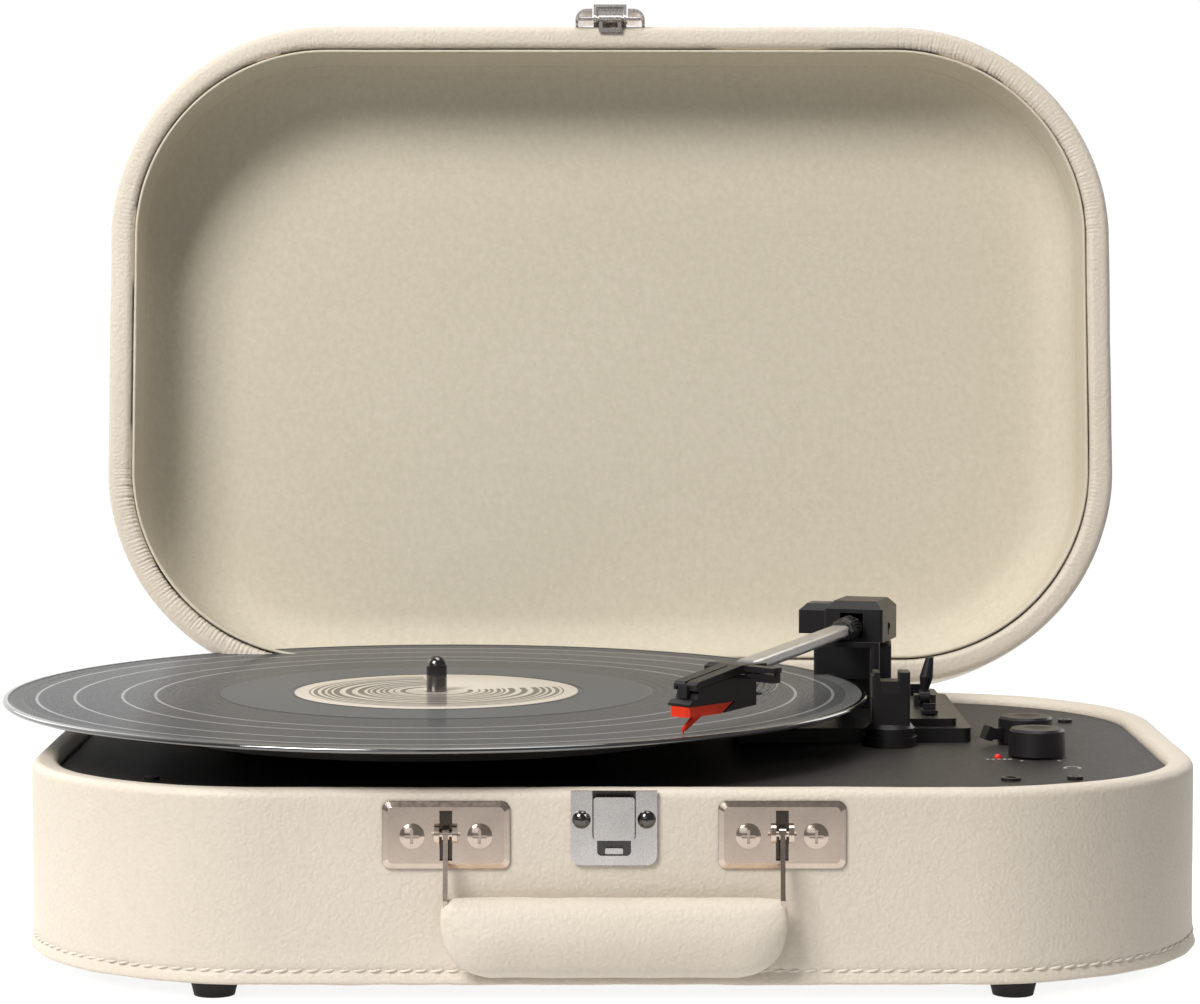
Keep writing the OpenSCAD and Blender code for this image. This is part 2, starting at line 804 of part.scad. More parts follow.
module stylus() {
    half_w = 4.1;
    nose = 31.3;
    tip_l = 28.8;
    color("orangered") at_head() {
        difference() {
            along_head(half_w) polygon([[nose, 90.8], [nose, 87.5], [15, 87.5], [9.2, 90.8]]);
            for (s = [-1, 1]) translate([s * half_w, -nose, 86]) rotate([0, 0, 45])
                cube([1.6, 1.6, 12], center = true);
        }
        hull() {
            translate([0, -21.5, 87.6]) cube([1.6, 2, 1.2], center = true);
            translate([0, 0.4 - tip_l, 83.3]) cube([1.1, 1, 0.8], center = true);
        }
        translate([0, -tip_l, 81.5]) cylinder(r1 = 0.15, r2 = 0.5, h = 1.9);
    }
}

// ---------- front hardware ----------

module strike_plate() {
    half_w = 13.5;
    flap_w = 6.4;
    color("silver") on_case() {
        difference() {
            front_plate([-half_w, 44], [half_w, rim_z - 0.2], 0, 1.2, 0, 3.2);
            front_plate([-5.3, 47], [5.3, 53.5], 0.5, 3, 0, 1.4);
            front_plate([-flap_w - 0.4, 52.2], [flap_w + 0.4, rim_z + 1], 0.6, 3, 0, 1);
            for (s = [-1, 1]) front_hole(s * rivet_x, rivet_z, rivet_r + 0.04);
        }
        front_plate([-flap_w, 52.3], [flap_w, rim_z - 1.7], 3.8, 4.6, 1, 1.4);
        for (s = [-1, 1]) front_plate([s * (flap_w - 0.5) - 0.5, 53.8],
            [s * (flap_w - 0.5) + 0.5, rim_z - 3.4], 0.5, 3.9, 0, 0);
        front_plate([-2.8, 47.6], [2.8, 49.4], 0.4, 1.5, 0.4, 0.4);
    }
}

module strike_rivets() {
    color("silver") on_case() for (s = [-1, 1])
        translate([s * rivet_x, front - 1.2, rivet_z]) rotate([90, 0, 0]) {
            intersection() {
                translate([0, 0, -1.6]) sphere(3.3);
                cylinder(r = 2.9, h = 3);
            }
            translate([0, 0, -7]) cylinder(r = rivet_r, h = 7.1);
        }
}

// Stamped bracket: a raised plate with a sloping border and a slot for the bail's eye.
module bracket(sx) {
    translate([sx * bracket_x, 0, 0]) {
        difference() {
            union() {
                front_plate([-20, 42.8], [20, 64.2], 0, 0.7, 2.6, 2.6);
                hull() {
                    front_plate([-20, 42.8], [20, 64.2], 0.6, 0.7, 2.6, 2.6);
                    front_plate([-18.2, 44.6], [18.2, 62.4], 1.5, 1.6, 1.6, 1.6);
                }
                for (s = [-1, 1]) translate([s * 2.8, front - 1.6, handle_z]) cross_rod(3.3, 1.6);
            }
            block([-2.0, front - 8, 45.5], [2.0, front - 0.25, 61.3]);
            translate([0, front - 2.4, handle_z]) cross_rod(1.02, 9);
            for (s = [-1, 1]) front_hole(s * screw_x, screw_z, screw_r * shank + 0.04);
            block([-8, front - 0.001, 40], [8, front + 8, 70]);
        }
        translate([0, front - 2.4, handle_z]) cross_rod(1.0, 6.8);
    }
}

module handle_brackets() {
    color("silver") on_case() for (sx = [-1, 1]) bracket(sx);
}

module handle_screws() {
    color("silver") on_case() for (sx = [-1, 1], s = [-1, 1])
        front_screw(sx * bracket_x + s * screw_x, screw_z, 1.6, screw_r, 8);
}

// Both wire legs, each with the eye that hangs on its bracket's pin.
module handle_bail() {
    grip_y = front - 8;
    eye_w = 2.2;
    wire_w = 1.5;
    color("silver") on_case() for (sx = [-1, 1]) translate([sx * bracket_x, 0, 0]) difference() {
        union() {
            translate([0, front - 2.4, handle_z]) cross_rod(2.1, eye_w);
            hull() {
                translate([0, front - 3.4, handle_z]) cross_rod(1.1, wire_w);
                translate([0, grip_y, 34]) cross_rod(1.0, wire_w);
            }
            hull() {
                translate([0, grip_y, 34]) cross_rod(1.0, wire_w);
                translate([0, grip_y, 24]) cross_rod(1.0, wire_w);
            }
        }
        translate([0, front - 2.4, handle_z]) cross_rod(1.05, 6);
    }
}

module handle_grip() {
    half_w = 53.7;
    color("antiquewhite") on_case()
        translate([0, front - 1.2, 0]) rotate([90, 0, 0]) linear_extrude(13.4) difference() {
            soft_rect([-half_w, 8.7], [half_w, 35.4], 4, 13);
            for (s = [-1, 1]) translate([s * bracket_x - 1, 23.5]) square([2, 20]);
        }
}

// ---------- lid ----------

// Knuckles of one hinge: every other of the five, turn 0 for the base and 1 for the lid.
module knuckles(turn) {
    pitch = 6;
    for (i = [-2:2]) if ((i + 2) % 2 == turn)
        translate([i * pitch, hinge_y, hinge_z]) cross_rod(2.3, pitch - 0.3);
}

module hinge_bore() {
    translate([0, hinge_y, hinge_z]) cross_rod(1.25, 60);
}

module base_hinge_leaves() {
    color("silver") on_case() for (x = [-78, 78]) translate([x, 0, 0]) difference() {
        union() {
            knuckles(0);
            block([-14.85, back, hinge_z - 20], [14.85, back + 1.1, hinge_z - 2.6]);
            for (i = [-2, 0, 2])
                block([i * 6 - 2.85, back, hinge_z - 3], [i * 6 + 2.85, back + 2, hinge_z]);
            for (s = [-1, 1]) translate([s * 8.5, back + 1, hinge_z - 13]) rotate([-90, 0, 0])
                intersection() {
                    translate([0, 0, -1.6]) sphere(3);
                    cylinder(r = 2.5, h = 2);
                }
        }
        hinge_bore();
    }
}

module lid_hinge_leaves() {
    color("silver") on_lid() for (x = [-78, 78]) translate([x, 0, 0]) difference() {
        union() {
            knuckles(1);
            block([-14.85, back, hinge_z + 2.6], [14.85, back + 1.1, hinge_z + 20]);
            for (i = [-1, 1]) block([i * 6 - 2.85, back, hinge_z], [i * 6 + 2.85, back + 2, hinge_z + 3]);
            for (s = [-1, 1]) translate([s * 8.5, back + 1, hinge_z + 13]) rotate([-90, 0, 0])
                intersection() {
                    translate([0, 0, -1.6]) sphere(3);
                    cylinder(r = 2.5, h = 2);
                }
        }
        hinge_bore();
    }
}

module hinge_pins() {
    color("silver") on_case() for (x = [-78, 78]) translate([x, hinge_y, hinge_z])
        cross_rod(1.2, 31);
}

module lid_shell() {
    top_t = 4;
    color("burlywood") on_lid() {
        sweep() soft_rect([skin_t, lid_z + skin_t], [wall_in, lid_top - skin_t], 3.2, 2.2);
        slab(wall_in - 4, lid_top - skin_t - top_t, lid_top - skin_t);
    }
}

module lid_cover() {
    turn_in = 5;
    color("antiquewhite") on_lid() {
        sweep() difference() {
            soft_rect([0, lid_z], [rim_w, lid_top], 4, 3);
            soft_rect([skin_t, lid_z + skin_t], [wall_in, lid_top - skin_t], 3.2, 2.2);
            translate([wall_in - eps, lid_z + turn_in]) square([rim_w, lid_h]);
            translate([4, lid_z + 20]) square([rim_w, lid_h]);
        }
        slab(3.9, lid_top - skin_t, lid_top);
    }
}

module lid_liner() {
    inset = rim_w + 0.4;
    ceiling = lid_top - skin_t - 4;
    liner_t = 0.9;
    cove = 13;
    color("wheat") on_lid() {
        sweep() difference() {
            union() {
                translate([inset, lid_z + 1.4]) square([liner_t + cove, ceiling - lid_z - 1.4]);
                translate([inset + 0.7, lid_z + 1.4]) circle(0.7);
            }
            translate([inset + 1.5, lid_z]) square([30, ceiling - lid_z - cove - liner_t]);
            translate([inset + liner_t, lid_z + 3.4])
                square([30, ceiling - lid_z - cove - liner_t - 3.4]);
            translate([inset + liner_t + cove, ceiling - liner_t - cove]) circle(cove);
        }
        slab(inset + liner_t + cove - 0.5, ceiling - liner_t, ceiling);
    }
}

// Section of the latch's plate: a channel open towards the lid, from proud outwards.
module latch_channel(half_w, proud) {
    depth = 6;
    wall = 1;
    translate([0, front]) difference() {
        soft_rect([-half_w, -depth], [half_w, depth], 4.5, 4.5);
        soft_rect([-half_w + wall, -depth + wall], [half_w - wall, depth - wall], 3.5, 3.5);
        translate([-half_w - 1, -proud]) square([2 * half_w + 2, depth + proud + 1]);
    }
}

module latch_plate() {
    half_w = 13.5;
    color("silver") on_lid() {
        difference() {
            union() {
                translate([0, 0, lid_z + 0.4]) linear_extrude(22) latch_channel(half_w, 0);
                translate([0, 0, latch_low]) linear_extrude(3.5) latch_channel(half_w, 1.5);
            }
            block([-6.9, front - 8, latch_low - 1], [6.9, front - 4.4, lid_z + 19]);
        }
        translate([0, latch_y, latch_z]) cross_rod(0.8, 25.4);
    }
}

// Box lever that turns on the latch's rod and lies in the plate's window.
module latch_lever() {
    half_w = 6.4;
    cheek_t = 1.1;
    top = front - 8;
    color("silver") on_lid() difference() {
        union() {
            for (s = [-1, 1]) translate([s * (half_w - cheek_t / 2), 0, 0]) {
                translate([0, latch_y, latch_z]) cross_rod(1.3, cheek_t);
                block([-cheek_t / 2, top + 0.5, latch_z + 0.4], [cheek_t / 2, latch_y + 1.2, lid_z + 18]);
            }
            block([-half_w, top, latch_z + 0.4], [half_w, top + 1, lid_z + 18.4]);
            block([-half_w, top, lid_z + 17.4], [half_w, latch_y, lid_z + 18.4]);
            for (i = [-4:4])
                block([i * 1.2 - 0.3, top + 0.9, latch_z + 1.6], [i * 1.2 + 0.3, top + 2, latch_z + 2.4]);
            block([-half_w + 0.4, top + 0.6, latch_z + 2.3], [half_w - 0.4, latch_y - 0.6, latch_z + 3.2]);
        }
        translate([0, latch_y, latch_z]) cross_rod(0.85, 20);
    }
}

// Loop that hangs from the latch's rod; with the lid shut it drops into the strike.
module latch_loop() {
    wire = 1.5;
    drop = 5.2;
    color("silver") on_lid() translate([0, latch_y, latch_z]) rotate([lid_open, 0, 0]) {
        difference() {
            cross_rod(1.3, 8.8);
            cross_rod(0.85, 20);
        }
        difference() {
            block([-4.4, -0.5, -drop], [4.4, 0.5, -1.0]);
            block([-4.4 + wire, -1, -drop + wire], [4.4 - wire, 1, -0.5]);
        }
    }
}

base_shell();
base_cover();
bottom_panel();
feet();
foot_screws();
deck_panel();
deck_screws();
spindle();
spindle_housing();
spindle_clip();
platter();
platter_bush();
slipmat();
drive_belt();
motor();
motor_shaft();
motor_pulley();
amp_board();
speakers();
volume_pot();
volume_shaft();
volume_knob();
selector_switch();
selector_shaft();
selector_knob();
power_led();
headphone_jack();
rear_panel();
rca_jacks();
aux_jack();
dc_inlet();
mechanism_plate();
speed_slider();
autostop_slider();
arm_rest();
cue_lever();
cue_platform();
arm_pedestal();
arm_turret();
turret_shaft();
arm_pivot_pin();
arm_tube();
headshell();
cartridge();
stylus();
strike_plate();
strike_rivets();
handle_brackets();
handle_screws();
handle_bail();
handle_grip();
base_hinge_leaves();
lid_hinge_leaves();
hinge_pins();
lid_shell();
lid_cover();
lid_liner();
latch_plate();
latch_lever();
latch_loop();
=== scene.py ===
"""Looks of the suitcase record player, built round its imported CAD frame. Lengths are in metres; MM turns
millimetres into metres. The lid's own pieces are drawn shut and then swung open about the hinge."""

import json
import math

import bpy
import numpy as np
from mathutils import Matrix, Vector


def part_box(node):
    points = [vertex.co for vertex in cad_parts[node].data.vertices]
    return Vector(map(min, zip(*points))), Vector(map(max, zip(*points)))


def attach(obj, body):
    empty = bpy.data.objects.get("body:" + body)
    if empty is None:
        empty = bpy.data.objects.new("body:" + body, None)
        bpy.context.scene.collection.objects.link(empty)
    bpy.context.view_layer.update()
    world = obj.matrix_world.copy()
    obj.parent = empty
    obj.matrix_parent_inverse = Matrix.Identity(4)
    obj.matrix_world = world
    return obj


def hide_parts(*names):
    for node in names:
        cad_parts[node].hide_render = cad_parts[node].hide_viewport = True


MM = 0.001
TAU = 2 * math.pi

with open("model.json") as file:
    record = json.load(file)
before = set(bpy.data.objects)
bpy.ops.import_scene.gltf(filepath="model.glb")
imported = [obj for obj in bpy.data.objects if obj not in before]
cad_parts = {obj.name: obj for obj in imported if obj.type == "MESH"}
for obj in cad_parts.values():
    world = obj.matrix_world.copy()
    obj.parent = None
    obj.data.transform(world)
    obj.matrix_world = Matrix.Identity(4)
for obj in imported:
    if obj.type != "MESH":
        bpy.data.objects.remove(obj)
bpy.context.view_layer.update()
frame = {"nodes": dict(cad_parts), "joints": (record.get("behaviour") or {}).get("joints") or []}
JOINTS = {joint["name"]: joint for joint in frame["joints"]}
COVER_LO, COVER_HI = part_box("base_cover")
CASE = np.array(((COVER_LO.x + COVER_HI.x) / 2, (COVER_LO.y + COVER_HI.y) / 2))
CASE_W = COVER_HI.x - COVER_LO.x
CASE_D = COVER_HI.y - COVER_LO.y


# ---------- camera, light and floor ----------


def make_camera():
    data = bpy.data.cameras.new("camera")
    data.lens = 110.6
    data.sensor_width = 36
    data.clip_start = 0.05
    camera = bpy.data.objects.new("camera", data)
    camera.location = (-0.0062, -1.3115, 0.2375)
    camera.rotation_euler = (math.radians(90 - 3.98), 0, math.radians(-0.09))
    bpy.context.scene.collection.objects.link(camera)
    bpy.context.scene.camera = camera


def soft_box(name, location, target, size, power, colour=(1, 1, 1)):
    """Area light at location that faces target."""
    data = bpy.data.lights.new(name, "AREA")
    data.shape = "RECTANGLE"
    data.size, data.size_y = size
    data.energy = power
    data.color = colour
    light = bpy.data.objects.new(name, data)
    light.location = location
    aim = Vector(target) - Vector(location)
    light.rotation_mode = "QUATERNION"
    light.rotation_quaternion = aim.to_track_quat("-Z", "Y")
    bpy.context.scene.collection.objects.link(light)


def make_world():
    """White to the camera; to everything else a dim room with a bright backdrop behind the machine."""
    world = bpy.data.worlds.new("studio")
    bpy.context.scene.world = world
    world.use_nodes = True
    nodes, links = world.node_tree.nodes, world.node_tree.links
    room = nodes["Background"]
    room.inputs["Color"].default_value = (1, 0.98, 0.955, 1)
    way = nodes.new("ShaderNodeTexCoord").outputs["Generated"]
    parts = nodes.new("ShaderNodeSeparateXYZ")
    links.new(way, parts.inputs[0])
    lean = nodes.new("ShaderNodeMath")
    lean.operation = "MULTIPLY_ADD"
    lean.inputs[1].default_value = -0.6
    links.new(parts.outputs["X"], lean.inputs[0])
    links.new(parts.outputs["Y"], lean.inputs[2])
    backdrop = nodes.new("ShaderNodeMapRange")
    backdrop.interpolation_type = "SMOOTHSTEP"
    for socket, value in (("From Min", 0.1), ("From Max", 1.15), ("To Min", 0.18), ("To Max", 1.2)):
        backdrop.inputs[socket].default_value = value
    links.new(lean.outputs[0], backdrop.inputs["Value"])
    links.new(backdrop.outputs["Result"], room.inputs["Strength"])
    seen = nodes.new("ShaderNodeBackground")
    seen.inputs["Color"].default_value = (1, 1, 1, 1)
    seen.inputs["Strength"].default_value = 1.05
    path = nodes.new("ShaderNodeLightPath")
    mix = nodes.new("ShaderNodeMixShader")
    links.new(path.outputs["Is Camera Ray"], mix.inputs[0])
    links.new(room.outputs[0], mix.inputs[1])
    links.new(seen.outputs[0], mix.inputs[2])
    links.new(mix.outputs[0], nodes["World Output"].inputs[0])


def make_floor():
    """Pale round floor that fades into the white around it."""
    steps = 96
    reach = 0.8
    ring = [(reach * math.cos(TAU * i / steps), reach * math.sin(TAU * i / steps), 0) for i in range(steps)]
    floor = make_mesh("floor", ring, [tuple(range(steps))])
    look = Look("floor_white", Base_Color=tone(250, 250, 249), Roughness=0.9, Emission_Strength=0.7,
                Emission_Color=(1, 1, 1, 1))
    look.bump(look.noise(40), 0.2 * MM)
    look.feed("Alpha", look.spread(radius_of(look), 0.45, 0, 0.3, 0.75))
    floor.data.materials.append(look.material)


def make_stage():
    """Floor, surroundings, a high soft key light on the left and weaker ones round it."""
    make_world()
    make_floor()
    soft_box("key", (-0.9, -1.1, 1.4), (0, 0, 0.15), (0.8, 0.8), 34, (1, 0.98, 0.95))
    soft_box("front_fill", (-0.8, -2.1, 0.9), (0, 0, 0.1), (1.4, 1.0), 3)
    soft_box("top", (0.15, 0.1, 1.8), (0, 0, 0), (1.2, 0.8), 10)
    soft_box("back_left", (-1.3, 1.2, 0.9), (0, 0, 0.2), (0.9, 0.9), 6)
    soft_box("back_right", (1.4, 1.3, 0.8), (0, 0, 0.2), (0.9, 0.9), 6)
    scene = bpy.context.scene
    scene.view_settings.view_transform = "Standard"
    scene.view_settings.look = "None"


# ---------- material helpers ----------


def tone(red, green, blue):
    """Linear colour of an sRGB one given in 0..255."""
    def linear(value):
        v = value / 255
        return v / 12.92 if v <= 0.04045 else ((v + 0.055) / 1.055) ** 2.4
    return (linear(red), linear(green), linear(blue), 1)


class Look:
    """A material: its Principled shader and the nodes that feed it. Base_Color=... sets "Base Color"."""

    def __init__(self, name, **sockets):
        self.material = bpy.data.materials.new(name)
        self.material.use_nodes = True
        self.nodes = self.material.node_tree.nodes
        self.links = self.material.node_tree.links
        self.shader = self.nodes["Principled BSDF"]
        self.place = self.add("ShaderNodeTexCoord").outputs["Object"]
        for socket, value in sockets.items():
            self.shader.inputs[socket.replace("_", " ")].default_value = value

    def add(self, kind, inputs=None, **settings):
        node = self.nodes.new(kind)
        for key, value in settings.items():
            setattr(node, key, value)
        for socket, value in (inputs or {}).items():
            if isinstance(value, bpy.types.NodeSocket):
                self.links.new(value, node.inputs[socket])
            else:
                node.inputs[socket].default_value = value
        return node

    def feed(self, socket, output):
        self.links.new(output, self.shader.inputs[socket])

    def noise(self, scale, detail=3, roughness=0.55, vector=None):
        inputs = {"Vector": vector or self.place, "Scale": scale, "Detail": detail, "Roughness": roughness}
        return self.add("ShaderNodeTexNoise", inputs).outputs["Fac"]

    def cells(self, scale, feature="F1", vector=None):
        inputs = {"Vector": vector or self.place, "Scale": scale}
        return self.add("ShaderNodeTexVoronoi", inputs, feature=feature).outputs["Distance"]

    def math(self, operation, a, b=0.0):
        return self.add("ShaderNodeMath", {0: a, 1: b}, operation=operation).outputs[0]

    def spread(self, value, low, high, start=0.0, end=1.0):
        """value, taken from start..end to low..high."""
        inputs = {"Value": value, "From Min": start, "From Max": end, "To Min": low, "To Max": high}
        return self.add("ShaderNodeMapRange", inputs).outputs["Result"]

    def mix(self, share, a, b):
        node = self.add("ShaderNodeMix", data_type="RGBA")
        for index, value in ((0, share), (6, a), (7, b)):
            if isinstance(value, bpy.types.NodeSocket):
                self.links.new(value, node.inputs[index])
            else:
                node.inputs[index].default_value = value
        return node.outputs[2]

    def bump(self, height, distance):
        inputs = {"Height": height, "Distance": distance, "Strength": 1.0}
        self.feed("Normal", self.add("ShaderNodeBump", inputs).outputs["Normal"])


# ---------- materials ----------


def leather(name, light, dark, depth=0.22 * MM):
    """Pebbled leatherette: soft rounded grains, slightly uneven in tone and gloss, with faint painted shade
    in the creases between grains.
    """
    look = Look(name, IOR=1.45)
    wobble = look.add("ShaderNodeTexNoise", {"Vector": look.place, "Scale": 260.0})
    shifted = look.add("ShaderNodeVectorMath", {0: wobble.outputs["Color"]}, operation="SCALE")
    shifted.inputs["Scale"].default_value = 2.4 * MM
    warped = look.add("ShaderNodeVectorMath", {0: look.place, 1: shifted.outputs[0]})
    pebbles = look.cells(820, "SMOOTH_F1", warped.outputs[0])
    fine = look.noise(2600, 2)
    height = look.math("ADD", look.math("MULTIPLY", pebbles, -0.8), look.math("MULTIPLY", fine, 0.3))
    look.bump(height, depth)
    cloud = look.spread(look.noise(9, 4), 0, 1, 0.3, 0.7)
    base = look.mix(cloud, light, dark)
    # Painted shade: the colour darkens a little towards each grain's edge, in the creases between grains.
    look.feed("Base Color", look.mix(look.spread(pebbles, 0, 0.07, 0.3, 0.7), base, tone(150, 134, 114)))
    look.feed("Roughness", look.spread(look.noise(700, 3), 0.4, 0.58))
    return look.material


def lining_felt():
    """Flocked paper: yellowish cream, softly mottled, with short fibres."""
    look = Look("lining_felt", Sheen_Weight=0.06, Sheen_Roughness=0.6, Specular_IOR_Level=0.15)
    mottle = look.spread(look.noise(420, 5, 0.75), 0, 1, 0.32, 0.68)
    patches = look.spread(look.noise(22, 4), 0, 1, 0.3, 0.7)
    body = look.mix(mottle, tone(207, 199, 181), tone(219, 211, 194))
    look.feed("Base Color", look.mix(look.math("MULTIPLY", patches, 0.2), body, tone(206, 198, 178)))
    look.feed("Roughness", look.spread(mottle, 0.82, 0.97))
    look.bump(look.noise(1800, 4, 0.75), 0.12 * MM)
    return look.material


def deck_paint():
    """Sand-textured charcoal deck."""
    look = Look("deck_paint", IOR=1.5)
    grit = look.noise(1500, 3, 0.65)
    peaks = look.spread(grit, 0, 1, 0.4, 0.65)
    look.feed("Base Color", look.mix(peaks, tone(33, 30, 29), tone(52, 48, 46)))
    look.feed("Roughness", look.spread(look.noise(600), 0.42, 0.6))
    look.bump(grit, 0.14 * MM)
    return look.material


def plastic(name, colour, rough=(0.3, 0.45), grain=1200, depth=0.02 * MM, **sockets):
    """Moulded plastic: an even colour with a faint spark-eroded grain."""
    look = Look(name, **sockets)
    shade = tuple(c * 0.8 for c in colour[:3]) + (1,)
    look.feed("Base Color", look.mix(look.spread(look.noise(60), 0, 1, 0.35, 0.65), colour, shade))
    look.feed("Roughness", look.spread(look.noise(grain, 3), *rough))
    look.bump(look.noise(grain, 2), depth)
    return look.material


def metal(name, colour, rough=(0.12, 0.25), grain=90, stretch=(1, 1, 1), depth=0.004 * MM,
          painted_well_shade=False):
    """Plated or bare metal with smudges and fine scratches. stretch sets the direction of a brushed finish,
    and the last flag paints shade: it darkens what lies close to the case's front, at the bottom of a
    stamping's openings."""
    look = Look(name, Metallic=1.0)
    drawn = look.add("ShaderNodeMapping", {"Vector": look.place, "Scale": stretch}).outputs[0]
    smudge = look.spread(look.noise(grain, 4, 0.6), 0, 1, 0.3, 0.7)
    shade = tuple(c * 0.86 for c in colour[:3]) + (1,)
    paint = look.mix(smudge, colour, shade)
    if painted_well_shade:
        # Painted shade: the colour turns dark brown where the surface lies close to the case's front, at
        # the bottom of the openings.
        y = look.add("ShaderNodeSeparateXYZ", {0: look.place}).outputs[1]
        front = CASE[1] - CASE_D / 2
        well_shade = look.spread(y, 0, 0.88, front - 0.78 * MM, front - 0.68 * MM)
        paint = look.mix(well_shade, paint, tone(34, 30, 28))
    look.feed("Base Color", paint)
    look.feed("Roughness", look.spread(look.noise(900, 3, 0.6, vector=drawn), *rough, 0.3, 0.7))
    look.bump(look.noise(1400, 3, 0.7, vector=drawn), depth)
    return look.material


def radius_of(look):
    """Distance from the object's own Z axis."""
    parts = look.add("ShaderNodeSeparateXYZ", {0: look.place}).outputs
    flat = look.add("ShaderNodeCombineXYZ", {0: parts[0], 1: parts[1]}).outputs[0]
    return look.add("ShaderNodeVectorMath", {0: flat}, operation="LENGTH").outputs["Value"]


def turn_of(look):
    """Angle round the object's own Z axis, in degrees from +X."""
    parts = look.add("ShaderNodeSeparateXYZ", {0: look.place}).outputs
    return look.math("DEGREES", look.math("ARCTAN2", parts[1], parts[0]))


def ring_noise(look, scale, detail):
    """Noise that depends on the distance from the object's Z axis alone."""
    node = look.add("ShaderNodeTexNoise", {"W": radius_of(look), "Scale": scale, "Detail": detail},
                    noise_dimensions="1D")
    return node.outputs["Fac"]


def vinyl(name, roughness, edge, haze, depth, black=(44, 66)):
    """Black vinyl: edge is how much it mirrors at a low angle, haze how much light its grooves scatter
    there, and black the darkest and lightest grey of its rings."""
    look = Look(name, Metallic=1.0, Specular_Tint=(edge * 0.97, edge, edge * 1.05, 1), Sheen_Weight=haze,
                Sheen_Roughness=0.5, Sheen_Tint=(0.96, 0.98, 1, 1))
    band = ring_noise(look, 900, 6)
    dark, light = (tone(grey, grey, grey) for grey in black)
    look.feed("Base Color", look.mix(band, dark, light))
    look.feed("Roughness", look.spread(band, roughness * 0.8, roughness * 1.25, 0.3, 0.7))
    look.bump(band, depth)
    return look.material


def label_paper():
    """Printed label: cream paper with sharp dark rings of uneven width, and one sector without them."""
    look = Look("label_paper", Roughness=0.35, Coat_Weight=0.5, Coat_Roughness=0.08)
    cream = tone(214, 206, 195)
    rings = look.spread(ring_noise(look, 470, 0.6), 0, 1, 0.5, 0.515)
    ink = look.mix(rings, tone(46, 42, 41), cream)
    radius, turn = radius_of(look), turn_of(look)
    inside = look.math("LESS_THAN", radius, 11 * MM)
    outside = look.math("GREATER_THAN", radius, 46 * MM)
    sector = look.math("MULTIPLY", look.math("GREATER_THAN", turn, 17), look.math("LESS_THAN", turn, 99))
    plain = look.math("MAXIMUM", look.math("MAXIMUM", inside, outside), sector)
    look.feed("Base Color", look.mix(plain, ink, cream))
    look.bump(look.noise(1500), 0.01 * MM)
    return look.material


def make_looks():
    """Materials by record slot, then those that only Blender's own pieces and OWN_LOOKS use."""
    return {
        "leatherette": leather("leatherette", tone(222, 212, 198), tone(215, 205, 190)),
        "board": plastic("board", tone(158, 120, 82), (0.8, 0.95), 500, 0.1 * MM),
        "liner": lining_felt(),
        "deck": deck_paint(),
        "base_board": plastic("base_board", tone(58, 54, 50), (0.7, 0.9), 700, 0.08 * MM),
        "rubber": plastic("rubber", tone(38, 35, 34), (0.65, 0.85), 900, 0.05 * MM),
        "drive_rubber": plastic("drive_rubber", tone(24, 23, 23), (0.6, 0.8)),
        "black_plastic": plastic("black_plastic", tone(30, 28, 30), (0.3, 0.42)),
        "knob_plastic": plastic("knob_plastic", tone(27, 25, 28), (0.34, 0.44)),
        "mat_felt": plastic("mat_felt", tone(22, 21, 22), (0.9, 1.0), 2200, 0.15 * MM,
                            Sheen_Weight=0.2),
        "platter_steel": metal("platter_steel", tone(96, 95, 96), (0.3, 0.45)),
        "nickel": metal("nickel", tone(224, 207, 193), (0.1, 0.2)),
        "brushed_nickel": metal("brushed_nickel", tone(235, 229, 226), (0.2, 0.3), 60, (2.5, 2.5, 0.4),
                                0.0015 * MM),
        "stamped_nickel": metal("stamped_nickel", tone(232, 214, 199), (0.12, 0.22), painted_well_shade=True),
        "stamped_strike": metal("stamped_strike", tone(246, 241, 239), (0.25, 0.29), 60, (3, 3, 0.6),
                                0.0001 * MM, painted_well_shade=True),
        "dark_chrome": metal("dark_chrome", tone(112, 109, 107), (0.05, 0.1)),
        "steel": metal("steel", tone(190, 190, 192), (0.18, 0.3)),
        "brass": metal("brass", tone(214, 180, 110), (0.2, 0.32)),
        "arm_aluminium": metal("arm_aluminium", tone(226, 225, 224), (0.3, 0.42), 120, (1, 0.1, 1)),
        "zinc": metal("zinc", tone(188, 190, 192), (0.28, 0.45)),
        "board_green": plastic("board_green", tone(30, 84, 52), (0.3, 0.5)),
        "speaker_black": plastic("speaker_black", tone(26, 26, 27), (0.5, 0.7)),
        "stylus_red": plastic("stylus_red", tone(240, 58, 22), (0.28, 0.4), Subsurface_Weight=0.3,
                              Subsurface_Radius=(0.004, 0.001, 0.0005)),
        "led_red": plastic("led_red", tone(214, 20, 18), (0.08, 0.15), Emission_Strength=0.25,
                           Emission_Color=tone(255, 30, 20)),
        "thread": plastic("thread", tone(236, 229, 216), (0.6, 0.8), 4000, 0.05 * MM, Sheen_Weight=0.2),
        "print_white": plastic("print_white", tone(214, 212, 208), (0.5, 0.6)),
        "vinyl_land": vinyl("vinyl_land", 0.16, 0.16, 0.38, 0.001 * MM),
        "vinyl_groove": vinyl("vinyl_groove", 0.14, 0.2, 0.28, 0.005 * MM),
        "vinyl_gap": vinyl("vinyl_gap", 0.12, 0.5, 0.8, 0.001 * MM),
        # The rim's vinyl is a light grey, strongly mirroring copy of the record's black vinyl: a painted
        # highlight along the beaded edge.
        "vinyl_rim_highlight": vinyl("vinyl_rim_highlight", 0.08, 1.0, 0, 0.0005 * MM, (128, 140)),
        "label_paper": label_paper(),
        "lead_wire": plastic("lead_wire", tone(196, 196, 190), (0.3, 0.45)),
    }


OWN_LOOKS = {
    "handle_brackets": "stamped_nickel",
    "strike_plate": "stamped_strike",
    "strike_rivets": "dark_chrome",
    "spindle": "dark_chrome",
    "latch_lever": "brushed_nickel",
    "latch_loop": "brushed_nickel",
}


